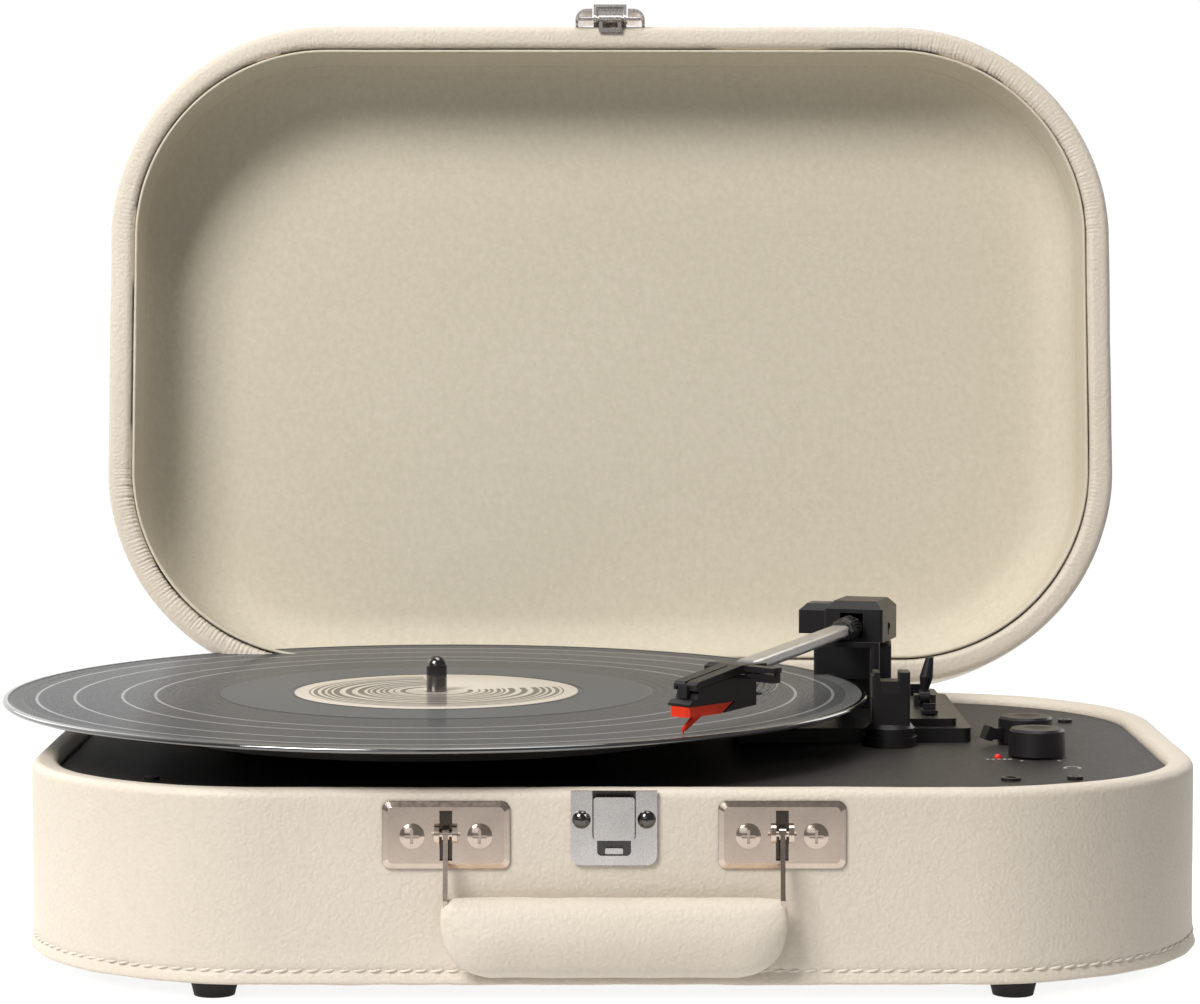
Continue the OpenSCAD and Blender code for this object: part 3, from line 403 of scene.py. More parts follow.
def dress_cad(looks):
    """Gives every CAD node the look of its record slot, or its own."""
    for name, node in frame["nodes"].items():
        for slot in node.material_slots:
            slot.material = looks[OWN_LOOKS.get(name, slot.material.name.split(".")[0])]


# ---------- mesh helpers ----------


def make_mesh(name, points, faces, *materials, face_materials=None):
    mesh = bpy.data.meshes.new(name)
    mesh.from_pydata(np.asarray(points, float).reshape(-1, 3).tolist(), [], faces)
    for material in materials:
        mesh.materials.append(material)
    mesh.polygons.foreach_set("use_smooth", [True] * len(mesh.polygons))
    if face_materials is not None:
        mesh.polygons.foreach_set("material_index", face_materials)
    mesh.update()
    piece = bpy.data.objects.new(name, mesh)
    bpy.context.scene.collection.objects.link(piece)
    return piece


def grid_faces(rows, columns, close_rows=False, close_columns=False):
    """Quads of a rows x columns grid of points, numbered row by row."""
    faces = []
    for r in range(rows if close_rows else rows - 1):
        a, b = r * columns, (r + 1) % rows * columns
        for c in range(columns if close_columns else columns - 1):
            d = (c + 1) % columns
            faces.append((a + c, a + d, b + d, b + c))
    return faces


def waves(points, length, seed, count=14):
    """Smooth unevenness in -1..1 with about that wavelength: a sum of plane waves in seeded directions."""
    random = np.random.default_rng(seed)
    total = np.zeros(points.shape[:-1])
    for _ in range(count):
        way = random.normal(size=3)
        way *= TAU / length * random.uniform(0.7, 1.4) / np.linalg.norm(way)
        total += np.sin(points @ way + random.uniform(0, TAU))
    return total / math.sqrt(count) / 1.5


def arc(centre, radius, start, end, steps):
    """Points of an arc in a profile, from angle start to end in degrees."""
    angles = np.radians(np.linspace(start, end, steps))
    return [(centre[0] + radius * math.cos(a), centre[1] + radius * math.sin(a)) for a in angles]


def line(start, end, steps):
    """Points along a straight line in a profile, without its two ends."""
    return [tuple(np.array(start) + (np.array(end) - start) * i / steps) for i in range(1, steps)]


# ---------- the case ----------

CORNER_R = 83 * MM
SKIN_T = 0.8 * MM
HINGE = Vector(JOINTS["lid_hinge"]["pos_m"])
LID_OPEN = math.radians(-JOINTS["lid_hinge"]["range_deg"][0])
SWING = Matrix.Translation(HINGE) @ Matrix.Rotation(-LID_OPEN, 4, "X") @ Matrix.Translation(-HINGE)


def shut_box(node):
    """Corners of one of the lid's nodes with the lid shut."""
    back = np.array(SWING.inverted())
    points = np.array([v.co for v in frame["nodes"][node].data.vertices])
    points = points @ back[:3, :3].T + back[:3, 3]
    return points.min(0), points.max(0)


class Path:
    """The case's outline, anticlockwise from the front right corner: points, outward normals, the length
    run so far, and the index of the corner that each point is on, or -1."""

    def __init__(self, fine, coarse):
        half_x, half_y = CASE_W / 2 - CORNER_R, CASE_D / 2 - CORNER_R
        points, normals, corner = [], [], []
        for k, (sx, sy) in enumerate(((1, -1), (1, 1), (-1, 1), (-1, -1))):
            centre = CASE + (sx * half_x, sy * half_y)
            steps = round(CORNER_R * math.pi / 2 / fine)
            for i in range(steps):
                a = (k - 1 + i / steps) * math.pi / 2
                normals.append((math.cos(a), math.sin(a)))
                points.append(centre + CORNER_R * np.array(normals[-1]))
                corner.append(k)
            run = 2 * (half_x if k % 2 else half_y)
            normal = np.array((math.cos(k * math.pi / 2), math.sin(k * math.pi / 2)))
            along = np.array((-normal[1], normal[0]))
            steps = round(run / coarse)
            for i in range(steps):
                normals.append(tuple(normal))
                points.append(centre + CORNER_R * normal + along * run * i / steps)
                corner.append(-1)
        self.points = np.array(points)
        self.normals = np.array(normals)
        self.corner = np.array(corner)
        gaps = np.linalg.norm(np.roll(self.points, -1, 0) - self.points, axis=1)
        self.length = float(gaps.sum())
        self.run = np.concatenate(([0], np.cumsum(gaps)[:-1]))

    def at(self, distance):
        """Point and outward normal at that distance along the path."""
        distance %= self.length
        runs = np.append(self.run, self.length)
        index = int(np.searchsorted(runs, distance, "right")) - 1
        share = (distance - runs[index]) / (runs[index + 1] - runs[index])
        after = (index + 1) % len(self.points)
        point = self.points[index] * (1 - share) + self.points[after] * share
        normal = self.normals[index] * (1 - share) + self.normals[after] * share
        return point, normal / np.linalg.norm(normal)


def sweep(path, profile):
    """Rows of points: profile holds (inset, height) or (inset, height, scale towards the case's middle)."""
    rows = []
    for inset, height, *scale in profile:
        ring = path.points - path.normals * inset
        if scale:
            ring = CASE + (ring - CASE) * scale[0]
        rows.append(np.column_stack((ring, np.full(len(ring), height))))
    return np.array(rows)


def sweep_faces(rows, columns, points):
    """Quads of a sweep, and a fan from its first and its last row to the last two points."""
    faces = grid_faces(rows, columns, False, True)
    last = (rows - 1) * columns
    for c in range(columns):
        d = (c + 1) % columns
        faces.append((d, c, points - 2))
        faces.append((last + c, last + d, points - 1))
    return faces


def profile_normals(profile):
    """Outward and upward parts of the surface normal at each row of a profile."""
    flat = np.array([(-p[0], p[1]) for p in profile])
    tangent = np.gradient(flat, axis=0)
    tangent /= np.maximum(np.linalg.norm(tangent, axis=1, keepdims=True), 1e-9)
    return np.column_stack((tangent[:, 1], -tangent[:, 0]))


def push(rows, path, profile, amount):
    """Moves each point along the surface normal by amount, an array as large as the grid."""
    normals = profile_normals(profile)
    rows[..., :2] += path.normals[None] * (normals[:, 0, None] * amount)[..., None]
    rows[..., 2] += normals[:, 1, None] * amount


def cut(piece, lo, hi):
    """Cuts a box out of piece."""
    corners = [(x, y, z) for x in (lo[0], hi[0]) for y in (lo[1], hi[1]) for z in (lo[2], hi[2])]
    sides = [(0, 1, 3, 2), (4, 6, 7, 5), (0, 4, 5, 1), (2, 3, 7, 6), (0, 2, 6, 4), (1, 5, 7, 3)]
    cutter = make_mesh("cutter", corners, sides)
    modifier = piece.modifiers.new("cut", "BOOLEAN")
    modifier.operation = "DIFFERENCE"
    modifier.object = cutter
    apply_modifiers(piece)
    bpy.data.objects.remove(cutter)


def apply_modifiers(piece):
    graph = bpy.context.evaluated_depsgraph_get()
    mesh = bpy.data.meshes.new_from_object(piece.evaluated_get(graph))
    piece.modifiers.clear()
    old = piece.data
    piece.data = mesh
    bpy.data.meshes.remove(old)


def base_profile(foot, rim):
    """The base's cover, outside from under the bottom up over the rim, then back inside."""
    m = MM
    hem = 8.2 * m
    outside = [(hem, foot), (5 * m, foot), (3 * m, foot), (1.4 * m, foot)]
    outside += [(0.4 * m, foot - 0.1 * m), (-0.5 * m, foot), (-1.0 * m, foot + 0.35 * m)]
    outside += [(-1.15 * m, foot + 0.9 * m), (-0.95 * m, foot + 1.7 * m), (-0.6 * m, foot + 2.7 * m)]
    outside += [(-0.3 * m, foot + 3.4 * m), (0.02 * m, foot + 3.9 * m), (0.16 * m, foot + 4.4 * m)]
    outside += [(0.02 * m, foot + 4.9 * m), (-0.2 * m, foot + 5.6 * m), (-0.16 * m, foot + 7 * m)]
    outside += [(-0.05 * m, foot + 9 * m), (0, foot + 11 * m)]
    outside += line((0, foot + 11 * m), (0, rim - 3 * m), 22)
    outside += [(3 * m - x, rim - 3 * m + z) for x, z in arc((0, 0), 3 * m, 0, 90, 9)]
    outside += [(4.5 * m, rim + 0.08 * m)]
    outside += [(6 * m + x, rim - 3 * m + z) for x, z in arc((0, 0), 3 * m, 90, 0, 9)]
    outside += [(9 * m, rim - 4.8 * m)]
    inside = [(8.2 * m, rim - 4.8 * m)]
    inside += [(6 * m + x, rim - 3 * m + z) for x, z in arc((0, 0), 2.2 * m, 0, 90, 5)]
    inside += [(3 * m - x, rim - 3 * m + z) for x, z in arc((0, 0), 2.2 * m, 90, 0, 5)]
    inside += [(SKIN_T, rim / 2), (SKIN_T, foot + SKIN_T), (hem, foot + SKIN_T)]
    return outside, inside


def make_base_skin(looks):
    path = Path(1.1 * MM, 2.2 * MM)
    outside, inside = base_profile(COVER_LO.z, COVER_HI.z)
    rows = sweep(path, outside)
    uneven = waves(rows, 45 * MM, 3) * 0.10 * MM + waves(rows, 14 * MM, 4) * 0.035 * MM
    hem = np.clip((COVER_LO.z + 12 * MM - rows[..., 2]) / (10 * MM), 0, 1)
    uneven += hem * waves(rows, 20 * MM, 5) * 0.16 * MM
    push(rows, path, outside, uneven)
    rows = np.concatenate((rows, sweep(path, inside)))
    faces = grid_faces(len(rows), len(path.points), True, True)
    skin = make_mesh("base_skin", rows, faces, looks["leatherette"])
    lo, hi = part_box("rear_panel")
    edge = 4.5 * MM
    cut(skin, (lo.x + edge, hi.y - 30 * MM, lo.z + edge), (hi.x - edge, hi.y + 5 * MM, hi.z - edge))
    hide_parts("base_cover")
    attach(skin, "base")


# How deep the gathers are at each of the path's corners, from the front right one on.
PLEAT_DEPTH = (0.26 * MM, 0.14 * MM, 0.48 * MM, 0.16 * MM)
PLEAT_OVERRUN = 9 * MM
PLEAT_FADE = 14 * MM


def pleats(path):
    """How far the gathers at the lid's corners sink into the rim, at each point of the path."""
    random = np.random.default_rng(11)
    depth = np.zeros(len(path.points))
    for k, strength in enumerate(PLEAT_DEPTH):
        on_corner = path.run[path.corner == k]
        start, end = on_corner.min() - PLEAT_OVERRUN, on_corner.max() + PLEAT_OVERRUN
        at = start
        while at < end:
            deep = random.uniform(0.35, 1.0) * (1.7 if random.random() < 0.12 else 1)
            width = random.uniform(0.28, 0.45) * MM
            gap = (path.run - at + path.length / 2) % path.length - path.length / 2
            fade = min(1, (at - start) / PLEAT_FADE, (end - at) / PLEAT_FADE)
            depth += strength * deep * fade * np.exp(-((gap / width) ** 2))
            at += random.uniform(1.1, 2.1) * MM
    return depth


def lid_profile(rim, top):
    """The lid's cover with the lid shut, from inside the rim round it, up the wall and over the top."""
    m = MM
    outside = [(9 * m, rim + 5 * m), (9 * m, rim + 4 * m)]
    outside += [(6 * m + x, rim + 3 * m + z) for x, z in arc((0, 0), 3 * m, 0, -90, 10)]
    outside += [(5 * m, rim - 0.06 * m), (4 * m, rim - 0.06 * m)]
    outside += [(3 * m - x, rim + 3 * m + z) for x, z in arc((0, 0), 3 * m, -90, 0, 9)]
    outside += line((0, rim + 3 * m), (0, top - 9 * m), 14)
    outside += [(0, top - 9 * m), (-0.12 * m, top - 7 * m), (-0.2 * m, top - 5.8 * m)]
    outside += [(0.02 * m, top - 5.1 * m), (0.16 * m, top - 4.6 * m), (0.02 * m, top - 4.1 * m)]
    outside += [(4 * m - x, top - 4 * m + z) for x, z in arc((0, 0), 4 * m, 6, 90, 9)]
    crown = ((0.985, 0.1), (0.95, 0.3), (0.88, 0.5), (0.75, 0.65), (0.55, 0.75), (0.3, 0.8), (0.08, 0.8))
    outside += [(4 * m, top + dome * m, scale) for scale, dome in crown]
    return outside


def make_lid_skin(looks):
    path = Path(0.38 * MM, 2.4 * MM)
    lo, hi = shut_box("lid_cover")
    profile = lid_profile(lo[2], hi[2])
    rows = sweep(path, profile)
    uneven = waves(rows, 45 * MM, 6) * 0.10 * MM + waves(rows, 14 * MM, 7) * 0.035 * MM
    inset = np.array([p[0] for p in profile])
    height = np.array([p[1] for p in profile])
    gathered = np.clip((inset - 1.6 * MM) / (6 * MM), 0, 1) * (height < lo[2] + 4.5 * MM)
    push(rows, path, profile, uneven - gathered[:, None] * pleats(path)[None])
    inner = [(9 * MM - SKIN_T, lo[2] + 5 * MM), (9 * MM - SKIN_T, lo[2] + 3 * MM), (6 * MM, lo[2] + SKIN_T)]
    inner += [(3 * MM, lo[2] + SKIN_T), (SKIN_T, lo[2] + 3 * MM), (SKIN_T, hi[2] - 4 * MM)]
    inner += [(4 * MM, hi[2] - SKIN_T), (4 * MM, hi[2] - SKIN_T, 0.5), (4 * MM, hi[2] - SKIN_T, 0.08)]
    inside = sweep(path, inner)
    rows = np.concatenate((inside[::-1], rows))
    points = np.concatenate((rows.reshape(-1, 3), [(*CASE, hi[2] - SKIN_T), (*CASE, hi[2] + 0.8 * MM)]))
    faces = sweep_faces(len(rows), len(path.points), len(points))
    skin = make_mesh("lid_skin", points, faces, looks["leatherette"])
    skin.data.transform(SWING)
    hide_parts("lid_cover")
    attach(skin, "lid")


def make_lining(looks):
    """Coved lining of the lid: a rolled lip, a wall, a crease and a cove up to the flat panel."""
    m = MM
    path = Path(1.0 * MM, 3 * MM)
    lo, hi = shut_box("lid_liner")
    start = 9.4 * m
    lip = lo[2] + 0.7 * m
    cove = 18 * m
    ceiling = hi[2] - 0.9 * m
    turn = ceiling - cove
    wall_foot, wall_top = (start + 0.9 * m, lip + 1.6 * m), (start + 1.5 * m, turn - 1.5 * m)
    visible = arc((start + 0.55 * m, lip), 0.55 * m, 180, 390, 9)
    visible += [(start + 0.7 * m, lip + 0.9 * m), wall_foot]
    visible += line(wall_foot, wall_top, 8)
    visible += [wall_top, (start + 1.55 * m, turn - 0.6 * m), (start + 1.15 * m, turn - 0.3 * m)]
    visible += [(start + 1.1 * m, turn), (start + 1.6 * m, turn + 0.35 * m)]
    visible += arc((start + 1.5 * m + cove, turn), cove, 174, 90, 14)
    inward = (0.985, 0.96, 0.92, 0.85, 0.75, 0.6, 0.45, 0.3, 0.15, 0.05)
    visible += [(start + 1.5 * m + cove, ceiling, scale) for scale in inward]
    rows = sweep(path, visible)
    uneven = waves(rows, 60 * MM, 8) * 0.10 * MM + waves(rows, 22 * MM, 9) * 0.03 * MM
    push(rows, path, visible, uneven)
    behind = [(start, lip), (start, hi[2] - cove), (start + cove * 0.3, hi[2] - cove * 0.3)]
    behind += [(start + cove, hi[2]), (start + cove, hi[2], 0.5), (start + cove, hi[2], 0.05)]
    back_rows = sweep(path, behind)
    rows = np.concatenate((back_rows[::-1], rows))
    points = np.concatenate((rows.reshape(-1, 3), [(*CASE, hi[2]), (*CASE, ceiling)]))
    faces = [face[::-1] for face in sweep_faces(len(rows), len(path.points), len(points))]
    lining = make_mesh("lid_lining", points, faces, looks["liner"])
    lining.data.transform(SWING)
    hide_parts("lid_liner")
    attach(lining, "lid")


def thread_stitch(length, radius, rise, rings=7, sides=7):
    """One stitch along X that dives into the surface z = 0 at both ends."""
    points = []
    for i in range(rings):
        t = i / (rings - 1)
        swell = math.sin(math.pi * (0.08 + 0.84 * t)) ** 0.4
        centre = Vector(((t - 0.5) * length, 0, rise * (math.sin(math.pi * t) * 1.5 - 0.75)))
        for j in range(sides):
            a = TAU * j / sides
            points.append(centre + Vector((0, math.cos(a), math.sin(a))) * radius * swell)
    faces = grid_faces(rings, sides, False, True)
    faces.append(tuple(range(sides))[::-1])
    faces.append(tuple((rings - 1) * sides + j for j in range(sides)))
    return np.array(points), faces


def make_stitching(looks):
    """Slanted stitches all round the base, above its hem."""
    random = np.random.default_rng(21)
    path = Path(1.1 * MM, 2.2 * MM)
    height = COVER_LO.z + 4.4 * MM
    count = round(path.length / (4.9 * MM))
    shape, shape_faces = thread_stitch(4.1 * MM, 0.42 * MM, 0.34 * MM)
    points, faces = [], []
    for k in range(count):
        place, normal = path.at(path.length * k / count + random.uniform(-0.2, 0.2) * MM)
        along = np.array((-normal[1], normal[0], 0))
        out = np.array((*normal, 0))
        slant = math.radians(random.uniform(6, 13))
        x_axis = along * math.cos(slant) + np.array((0, 0, 1)) * math.sin(slant)
        y_axis = np.cross(out, x_axis)
        origin = np.array((*place, height)) + out * 0.02 * MM
        turned = shape @ np.array((x_axis, y_axis, out))
        faces += [tuple(i + len(points) * len(shape) for i in face) for face in shape_faces]
        points.append(turned + origin)
    row = make_mesh("base_stitching", np.array(points), faces, looks["thread"])
    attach(row, "base")


# ---------- handle ----------

GRIP_LO, GRIP_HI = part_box("handle_grip")


def grip_blank():
    """The grip before it is stuffed: sections across X with a ridge along the front and tapering ends."""
    half = (GRIP_HI.x - GRIP_LO.x) / 2
    mid_x = (GRIP_HI.x + GRIP_LO.x) / 2
    depth = GRIP_HI.y - GRIP_LO.y
    shrink = 0.6 * MM
    reach = half + 0.6 * MM
    low_rx, low_rz = 16.5 * MM, 15 * MM
    top_rx, top_rz = 3.2 * MM, 3.2 * MM
    spans = 72
    outline = ((0.16, 1.0), (0.5, 0.98), (0.78, 0.86), (0.93, 0.66), (0.985, 0.52), (0.95, 0.36),
               (0.78, 0.12), (0.48, 0.01), (0.2, 0.0), (0.05, 0.07), (0.0, 0.25), (0.0, 0.75), (0.04, 0.93))
    points = []
    for i in range(spans + 1):
        x = (-1 + 2 * i / spans) * reach
        beyond_low = min(1, max(0, abs(x) - (reach - low_rx)) / low_rx)
        beyond_top = min(1, max(0, abs(x) - (reach - top_rx)) / top_rx)
        low = GRIP_LO.z + shrink + low_rz * (1 - math.sqrt(max(0, 1 - beyond_low ** 2)))
        high = GRIP_HI.z - shrink - top_rz * (1 - math.sqrt(max(0, 1 - beyond_top ** 2)))
        thick = 1 - 0.55 * beyond_low ** 2.2
        for forward, up in outline:
            y = GRIP_HI.y - shrink - (depth - 2 * shrink) * (0.5 + (forward - 0.5) * thick)
            points.append((mid_x + x, y, low + (high - low) * up))
    columns = len(outline)
    faces = grid_faces(spans + 1, columns, False, True)
    faces.append(tuple(range(columns))[::-1])
    faces.append(tuple(spans * columns + j for j in range(columns)))
    return points, faces


def stuff(piece, voxel, pressure, cap, frames=20):
    """Remeshes piece evenly, inflates it as cloth, and keeps each point within cap of where it was."""
    piece.data.remesh_voxel_size = voxel
    modifier = piece.modifiers.new("remesh", "REMESH")
    modifier.mode = "VOXEL"
    modifier.voxel_size = voxel
    apply_modifiers(piece)
    start = np.array([v.co for v in piece.data.vertices])
    cloth = piece.modifiers.new("cloth", "CLOTH")
    cloth.settings.use_pressure = True
    cloth.settings.uniform_pressure_force = pressure
    cloth.settings.tension_stiffness = 30
    cloth.settings.compression_stiffness = 30
    cloth.settings.bending_stiffness = 4
    cloth.settings.effector_weights.gravity = 0
    cloth.point_cache.frame_start = 1
    cloth.point_cache.frame_end = frames
    for step in range(1, frames + 1):
        bpy.context.scene.frame_set(step)
    apply_modifiers(piece)
    end = np.array([v.co for v in piece.data.vertices])
    move = end - start
    length = np.maximum(np.linalg.norm(move, axis=1, keepdims=True), 1e-9)
    end = start + move * np.minimum(1, cap / length)
    piece.data.vertices.foreach_set("co", end.ravel())
    piece.data.update()
    bpy.context.scene.frame_set(1)


def make_grip(looks):
    points, faces = grip_blank()
    grip = make_mesh("handle_pad", points, faces, looks["leatherette"])
    stuff(grip, 1.6 * MM, 4, 1.2 * MM)
    co = np.array([v.co for v in grip.data.vertices])
    normal = np.array([v.normal for v in grip.data.vertices])
    co += normal * (waves(co, 18 * MM, 31) * 0.12 * MM)[:, None]
    grip.data.vertices.foreach_set("co", co.ravel())
    finer = grip.modifiers.new("finer", "SUBSURF")
    finer.levels = 1
    finer.render_levels = 1
    apply_modifiers(grip)
    grip.data.polygons.foreach_set("use_smooth", [True] * len(grip.data.polygons))
    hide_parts("handle_grip")
    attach(grip, "handle")


# ---------- record on the platter ----------


def lathe(name, profile, centre, steps, *materials, split=()):
    """Turns a closed (radius, height) profile round an upright axis at centre; split gives each face row's
    material index."""
    angles = np.linspace(0, TAU, steps, endpoint=False)
    circle = np.column_stack((np.cos(angles), np.sin(angles)))
    rows = [np.column_stack((circle * radius, np.full(steps, height))) for radius, height in profile]
    faces = grid_faces(len(rows), steps, True, True)
    index = np.repeat(split, steps) if len(split) else None
    piece = make_mesh(name, np.array(rows), faces, *materials, face_materials=index)
    piece.location = centre
    return piece


def make_record(looks):
    """A 12-inch record on the mat: beaded edge, lead-in, grooves with gaps, smooth inner band and label."""
    spindle_lo, spindle_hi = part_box("spindle")
    mat_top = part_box("slipmat")[1].z
    centre = Vector(((spindle_lo.x + spindle_hi.x) / 2, (spindle_lo.y + spindle_hi.y) / 2, mat_top))
    m = MM
    hole = 3.75 * m
    low, land, bead = 0.02 * m, 1.62 * m, 1.9 * m
    groove = land - 0.12 * m
    steps = 512
    plain, grooved, gap, rim = range(4)
    turns = [(hole, low, plain), (hole, land, plain), (50.6 * m, land, plain)]
    turns += [(51.0 * m, land - 0.15 * m, plain), (51.6 * m, land, plain), (75.4 * m, land, plain)]
    turns += [(75.8 * m, groove, grooved)]
    for radius in (98 * m, 109.4 * m, 125.8 * m, 138.8 * m):
        turns += [(radius - 0.5 * m, groove, gap), (radius + 0.5 * m, groove, grooved)]
    turns += [(143.4 * m, groove, plain), (143.8 * m, land - 0.05 * m, plain)]
    turns += [(147.6 * m, land + 0.02 * m, plain), (148.8 * m, bead - 0.04 * m, rim)]
    turns += [(r, z, rim) for r, z in arc((149.7 * m, (low + bead) / 2), (bead - low) / 2, 80, -80, 10)]
    turns += [(148.0 * m, low + 0.1 * m, plain), (60 * m, low + 0.1 * m, plain), (55 * m, low, plain)]
    surfaces = [looks[name] for name in ("vinyl_land", "vinyl_groove", "vinyl_gap", "vinyl_rim_highlight")]
    split = [turn[2] for turn in turns]
    record = lathe("record_disc", [turn[:2] for turn in turns], centre, steps, *surfaces, split=split)
    record.data.polygons.foreach_set("use_smooth", np.repeat(np.array(split) == rim, steps))
    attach(record, "platter")
    paper = [(3.8 * m, land + 0.01 * m), (3.9 * m, land + 0.1 * m)]
    paper += [(49.4 * m, land + 0.1 * m), (49.8 * m, land + 0.01 * m)]
    label = lathe("record_label", paper, centre, 256, looks["label_paper"])
    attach(label, "platter")


# ---------- small parts ----------


def tube(name, route, radius, material):
    """Tube along a smooth curve through the route's points."""
    curve = bpy.data.curves.new(name, "CURVE")
    curve.dimensions = "3D"
    curve.bevel_depth = radius
    curve.bevel_resolution = 4
    curve.use_fill_caps = True
    spline = curve.splines.new("BEZIER")
    spline.bezier_points.add(len(route) - 1)
    for knot, point in zip(spline.bezier_points, route):
        knot.co = point
        knot.handle_left_type = knot.handle_right_type = "AUTO"
    source = bpy.data.objects.new(name, curve)
    bpy.context.scene.collection.objects.link(source)
    graph = bpy.context.evaluated_depsgraph_get()
    mesh = bpy.data.meshes.new_from_object(source.evaluated_get(graph))
    bpy.data.objects.remove(source)
    mesh.materials.clear()
    mesh.materials.append(material)
    piece = bpy.data.objects.new(name, mesh)
    bpy.context.scene.collection.objects.link(piece)
    return piece


ARM_PIVOT = Vector(JOINTS["arm_lift"]["pos_m"])
ARM_AXIS = Vector(JOINTS["arm_lift"]["axis"])
ARM_WAY = Vector((-ARM_AXIS.y, ARM_AXIS.x, 0))
ARM_LENGTH = 164 * MM
ARM_TILT = math.radians(0.65)
HEAD_TURN = math.radians(-25)
HEAD_WAY = Matrix.Rotation(HEAD_TURN, 3, "Z") @ ARM_WAY
HEAD_SIDE = Vector((-HEAD_WAY.y, HEAD_WAY.x, 0))


def head_point(side, ahead, height):
    """Point of the head: millimetres to its right and ahead of the arm's end, and above the floor."""
    joint = ARM_PIVOT + ARM_WAY * ARM_LENGTH
    point = joint + HEAD_SIDE * side * MM + HEAD_WAY * ahead * MM
    return Vector((point.x, point.y, height * MM))


def make_leads(looks):
    """Four thin leads that loop from the arm's end to the cartridge pins."""
    random = np.random.default_rng(41)
    for k, pin in enumerate((-3, -1, 1, 3)):
        bulge = 3.4 + k * 0.7 + random.uniform(-0.4, 0.4)
        route = [
            head_point(pin, -5.6, 92.0),
            head_point(pin * 1.1, -8.2, 91.7),
            head_point(pin * 1.2, -8.8 - bulge * 0.7, 92.9),
            head_point(pin * 1.0, -8.6 - bulge, 95.2),
            head_point(pin * 0.8, -8.0 - bulge * 0.5, 97.4),
            head_point(pin * 0.6, -6.4, 98.9),
        ]
        lead = tube("cartridge_lead_%d" % (k + 1), route, 0.28 * MM, looks["lead_wire"])
        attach(lead, "arm")


def make_collar(looks):
    """Black faceted sleeve over the arm's root, with a fluted middle."""
    way = ARM_WAY * math.cos(ARM_TILT) + Vector((0, 0, math.sin(ARM_TILT)))
    across = Vector((0, 0, 1)).cross(way).normalized()
    up = way.cross(across)
    steps = 48
    sections = ((7.6, 3.3), (7.9, 3.75), (14.2, 3.85), (14.3, 4.4), (14.7, 4.8), (15.9, 4.8), (16.3, 4.6),
                (23.5, 4.5), (23.8, 4.7), (25.0, 4.7), (25.6, 4.2), (28.8, 4.0), (29.6, 3.6), (29.7, 2.9))
    points = []
    for ahead, radius in sections:
        fluted = 16 < ahead < 23.6
        for k in range(steps):
            a = TAU * k / steps
            facet = math.cos(math.pi / 8) / math.cos(a % (TAU / 8) - math.pi / 8)
            size = radius * (1 - 0.07 * (k % 2) if fluted else facet)
            out = across * math.cos(a) + up * math.sin(a)
            points.append(ARM_PIVOT + way * ahead * MM + out * size * MM)
    last = (len(sections) - 1) * steps
    faces = grid_faces(len(sections), steps, False, True)
    faces += [tuple(range(steps))[::-1], tuple(last + k for k in range(steps))]
    collar = make_mesh("arm_collar", points, faces, looks["black_plastic"])
    collar.data.polygons.foreach_set("use_smooth", [False] * len(collar.data.polygons))
    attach(collar, "arm")


def soften_edges():
    """Small bevels that catch the light along the edges of the metal and moulded parts."""
    coarse = ("strike_plate", "latch_plate", "latch_lever", "handle_brackets", "mechanism_plate",
              "arm_turret", "arm_pedestal")
    fine = ("headshell", "cartridge", "stylus")
    for name in coarse + fine:
        bevel = frame["nodes"][name].modifiers.new("edges", "BEVEL")
        bevel.width = (0.12 if name in fine else 0.3) * MM
        bevel.segments = 2
        bevel.limit_method = "ANGLE"
        bevel.angle_limit = math.radians(38)


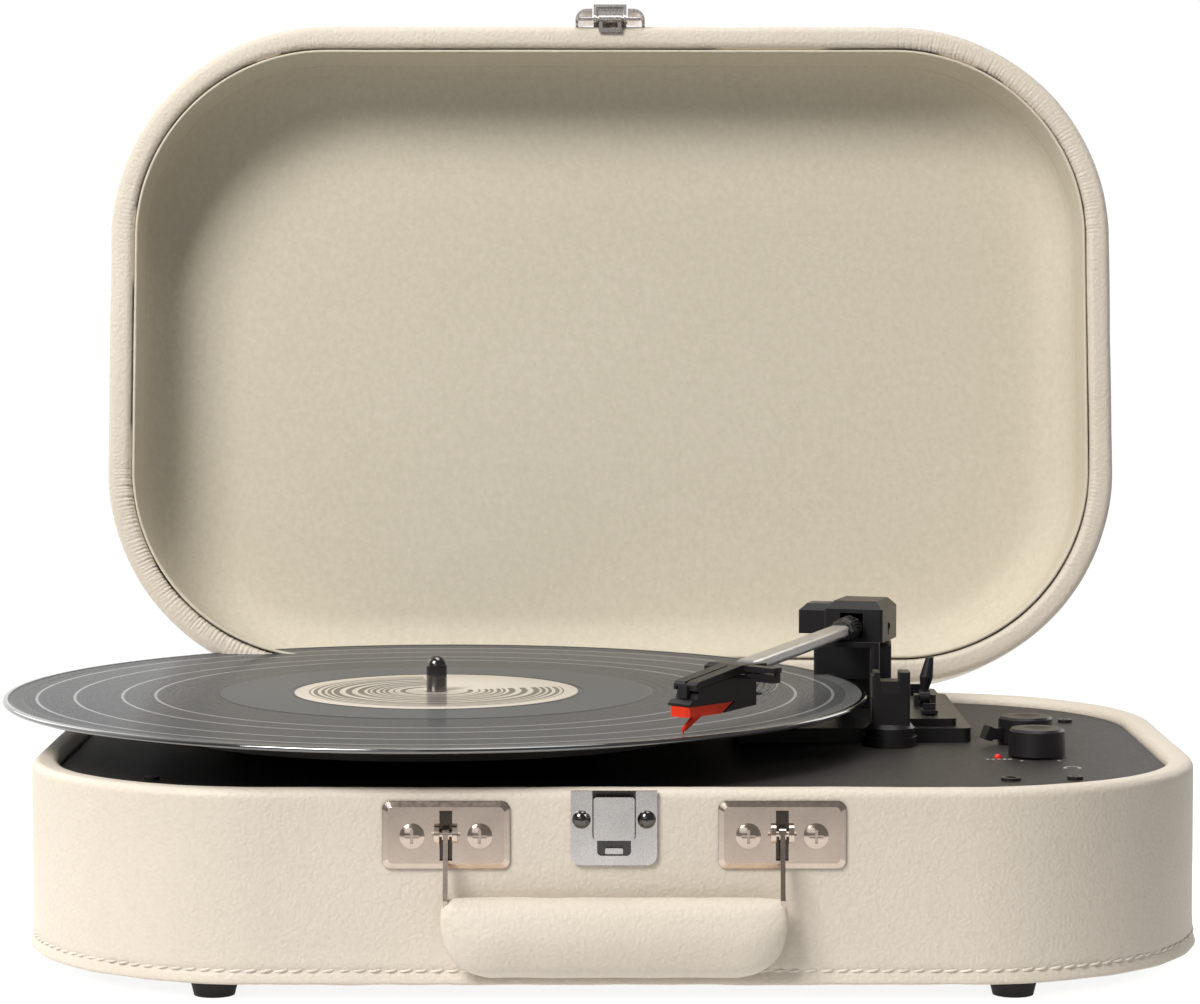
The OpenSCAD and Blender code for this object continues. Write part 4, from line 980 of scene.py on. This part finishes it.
def flat_marks(name, bars, height, body, looks):
    """Printed bars on a level surface: (x, y, length, width, turn in degrees) each."""
    box_faces = [(3, 2, 1, 0), (4, 5, 6, 7), (0, 1, 5, 4), (1, 2, 6, 5), (2, 3, 7, 6), (3, 0, 4, 7)]
    points, faces = [], []
    for x, y, length, width, turn in bars:
        a = math.radians(turn)
        along = np.array((math.cos(a), math.sin(a))) * length / 2
        across = np.array((-math.sin(a), math.cos(a))) * width / 2
        start = len(points)
        for z in (height, height + 0.04 * MM):
            for p, q in ((-1, -1), (1, -1), (1, 1), (-1, 1)):
                points.append((*(np.array((x, y)) + along * p + across * q), z))
        faces += [tuple(i + start for i in face) for face in box_faces]
    marks = make_mesh(name, points, faces, looks["print_white"])
    marks.data.polygons.foreach_set("use_smooth", [False] * len(marks.data.polygons))
    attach(marks, body)


def make_deck_marks(looks):
    """Plain ticks by the lamp and the knobs, and a simple headphone sign by the socket."""
    deck_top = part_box("deck_panel")[1].z
    lamp_lo, lamp_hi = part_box("power_led")
    knob_lo, knob_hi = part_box("volume_knob")
    lamp = ((lamp_lo.x + lamp_hi.x) / 2, lamp_lo.y)
    knob = ((knob_lo.x + knob_hi.x) / 2, (knob_lo.y + knob_hi.y) / 2)
    bars = [(lamp[0] + (k - 2) * 1.9 * MM, lamp[1] - 1.8 * MM, 1.1 * MM, 0.9 * MM, 0) for k in range(5)]
    for turn in (-150, 150):
        a = math.radians(90 - turn)
        reach = 12.6 * MM
        bars.append((knob[0] + math.cos(a) * reach, knob[1] + math.sin(a) * reach, 1.6 * MM, 0.6 * MM,
                     90 - turn))
    sign = (knob[0] + 8.5 * MM, knob[1] - 27 * MM)
    band = 2.4 * MM
    for k in range(9):
        a = math.radians(k * 22.5)
        bars.append((sign[0] + math.cos(a) * band, sign[1] + math.sin(a) * band, 1.0 * MM, 0.45 * MM,
                     math.degrees(a) + 90))
    for side in (-1, 1):
        bars.append((sign[0] + side * band, sign[1] - 0.9 * MM, 1.9 * MM, 1.1 * MM, 90))
    flat_marks("deck_marks", bars, deck_top, "base", looks)


def main():
    make_camera()
    make_stage()
    looks = make_looks()
    dress_cad(looks)
    make_base_skin(looks)
    make_lid_skin(looks)
    make_lining(looks)
    make_stitching(looks)
    make_grip(looks)
    make_record(looks)
    make_leads(looks)
    make_collar(looks)
    make_deck_marks(looks)
    soften_edges()


main()
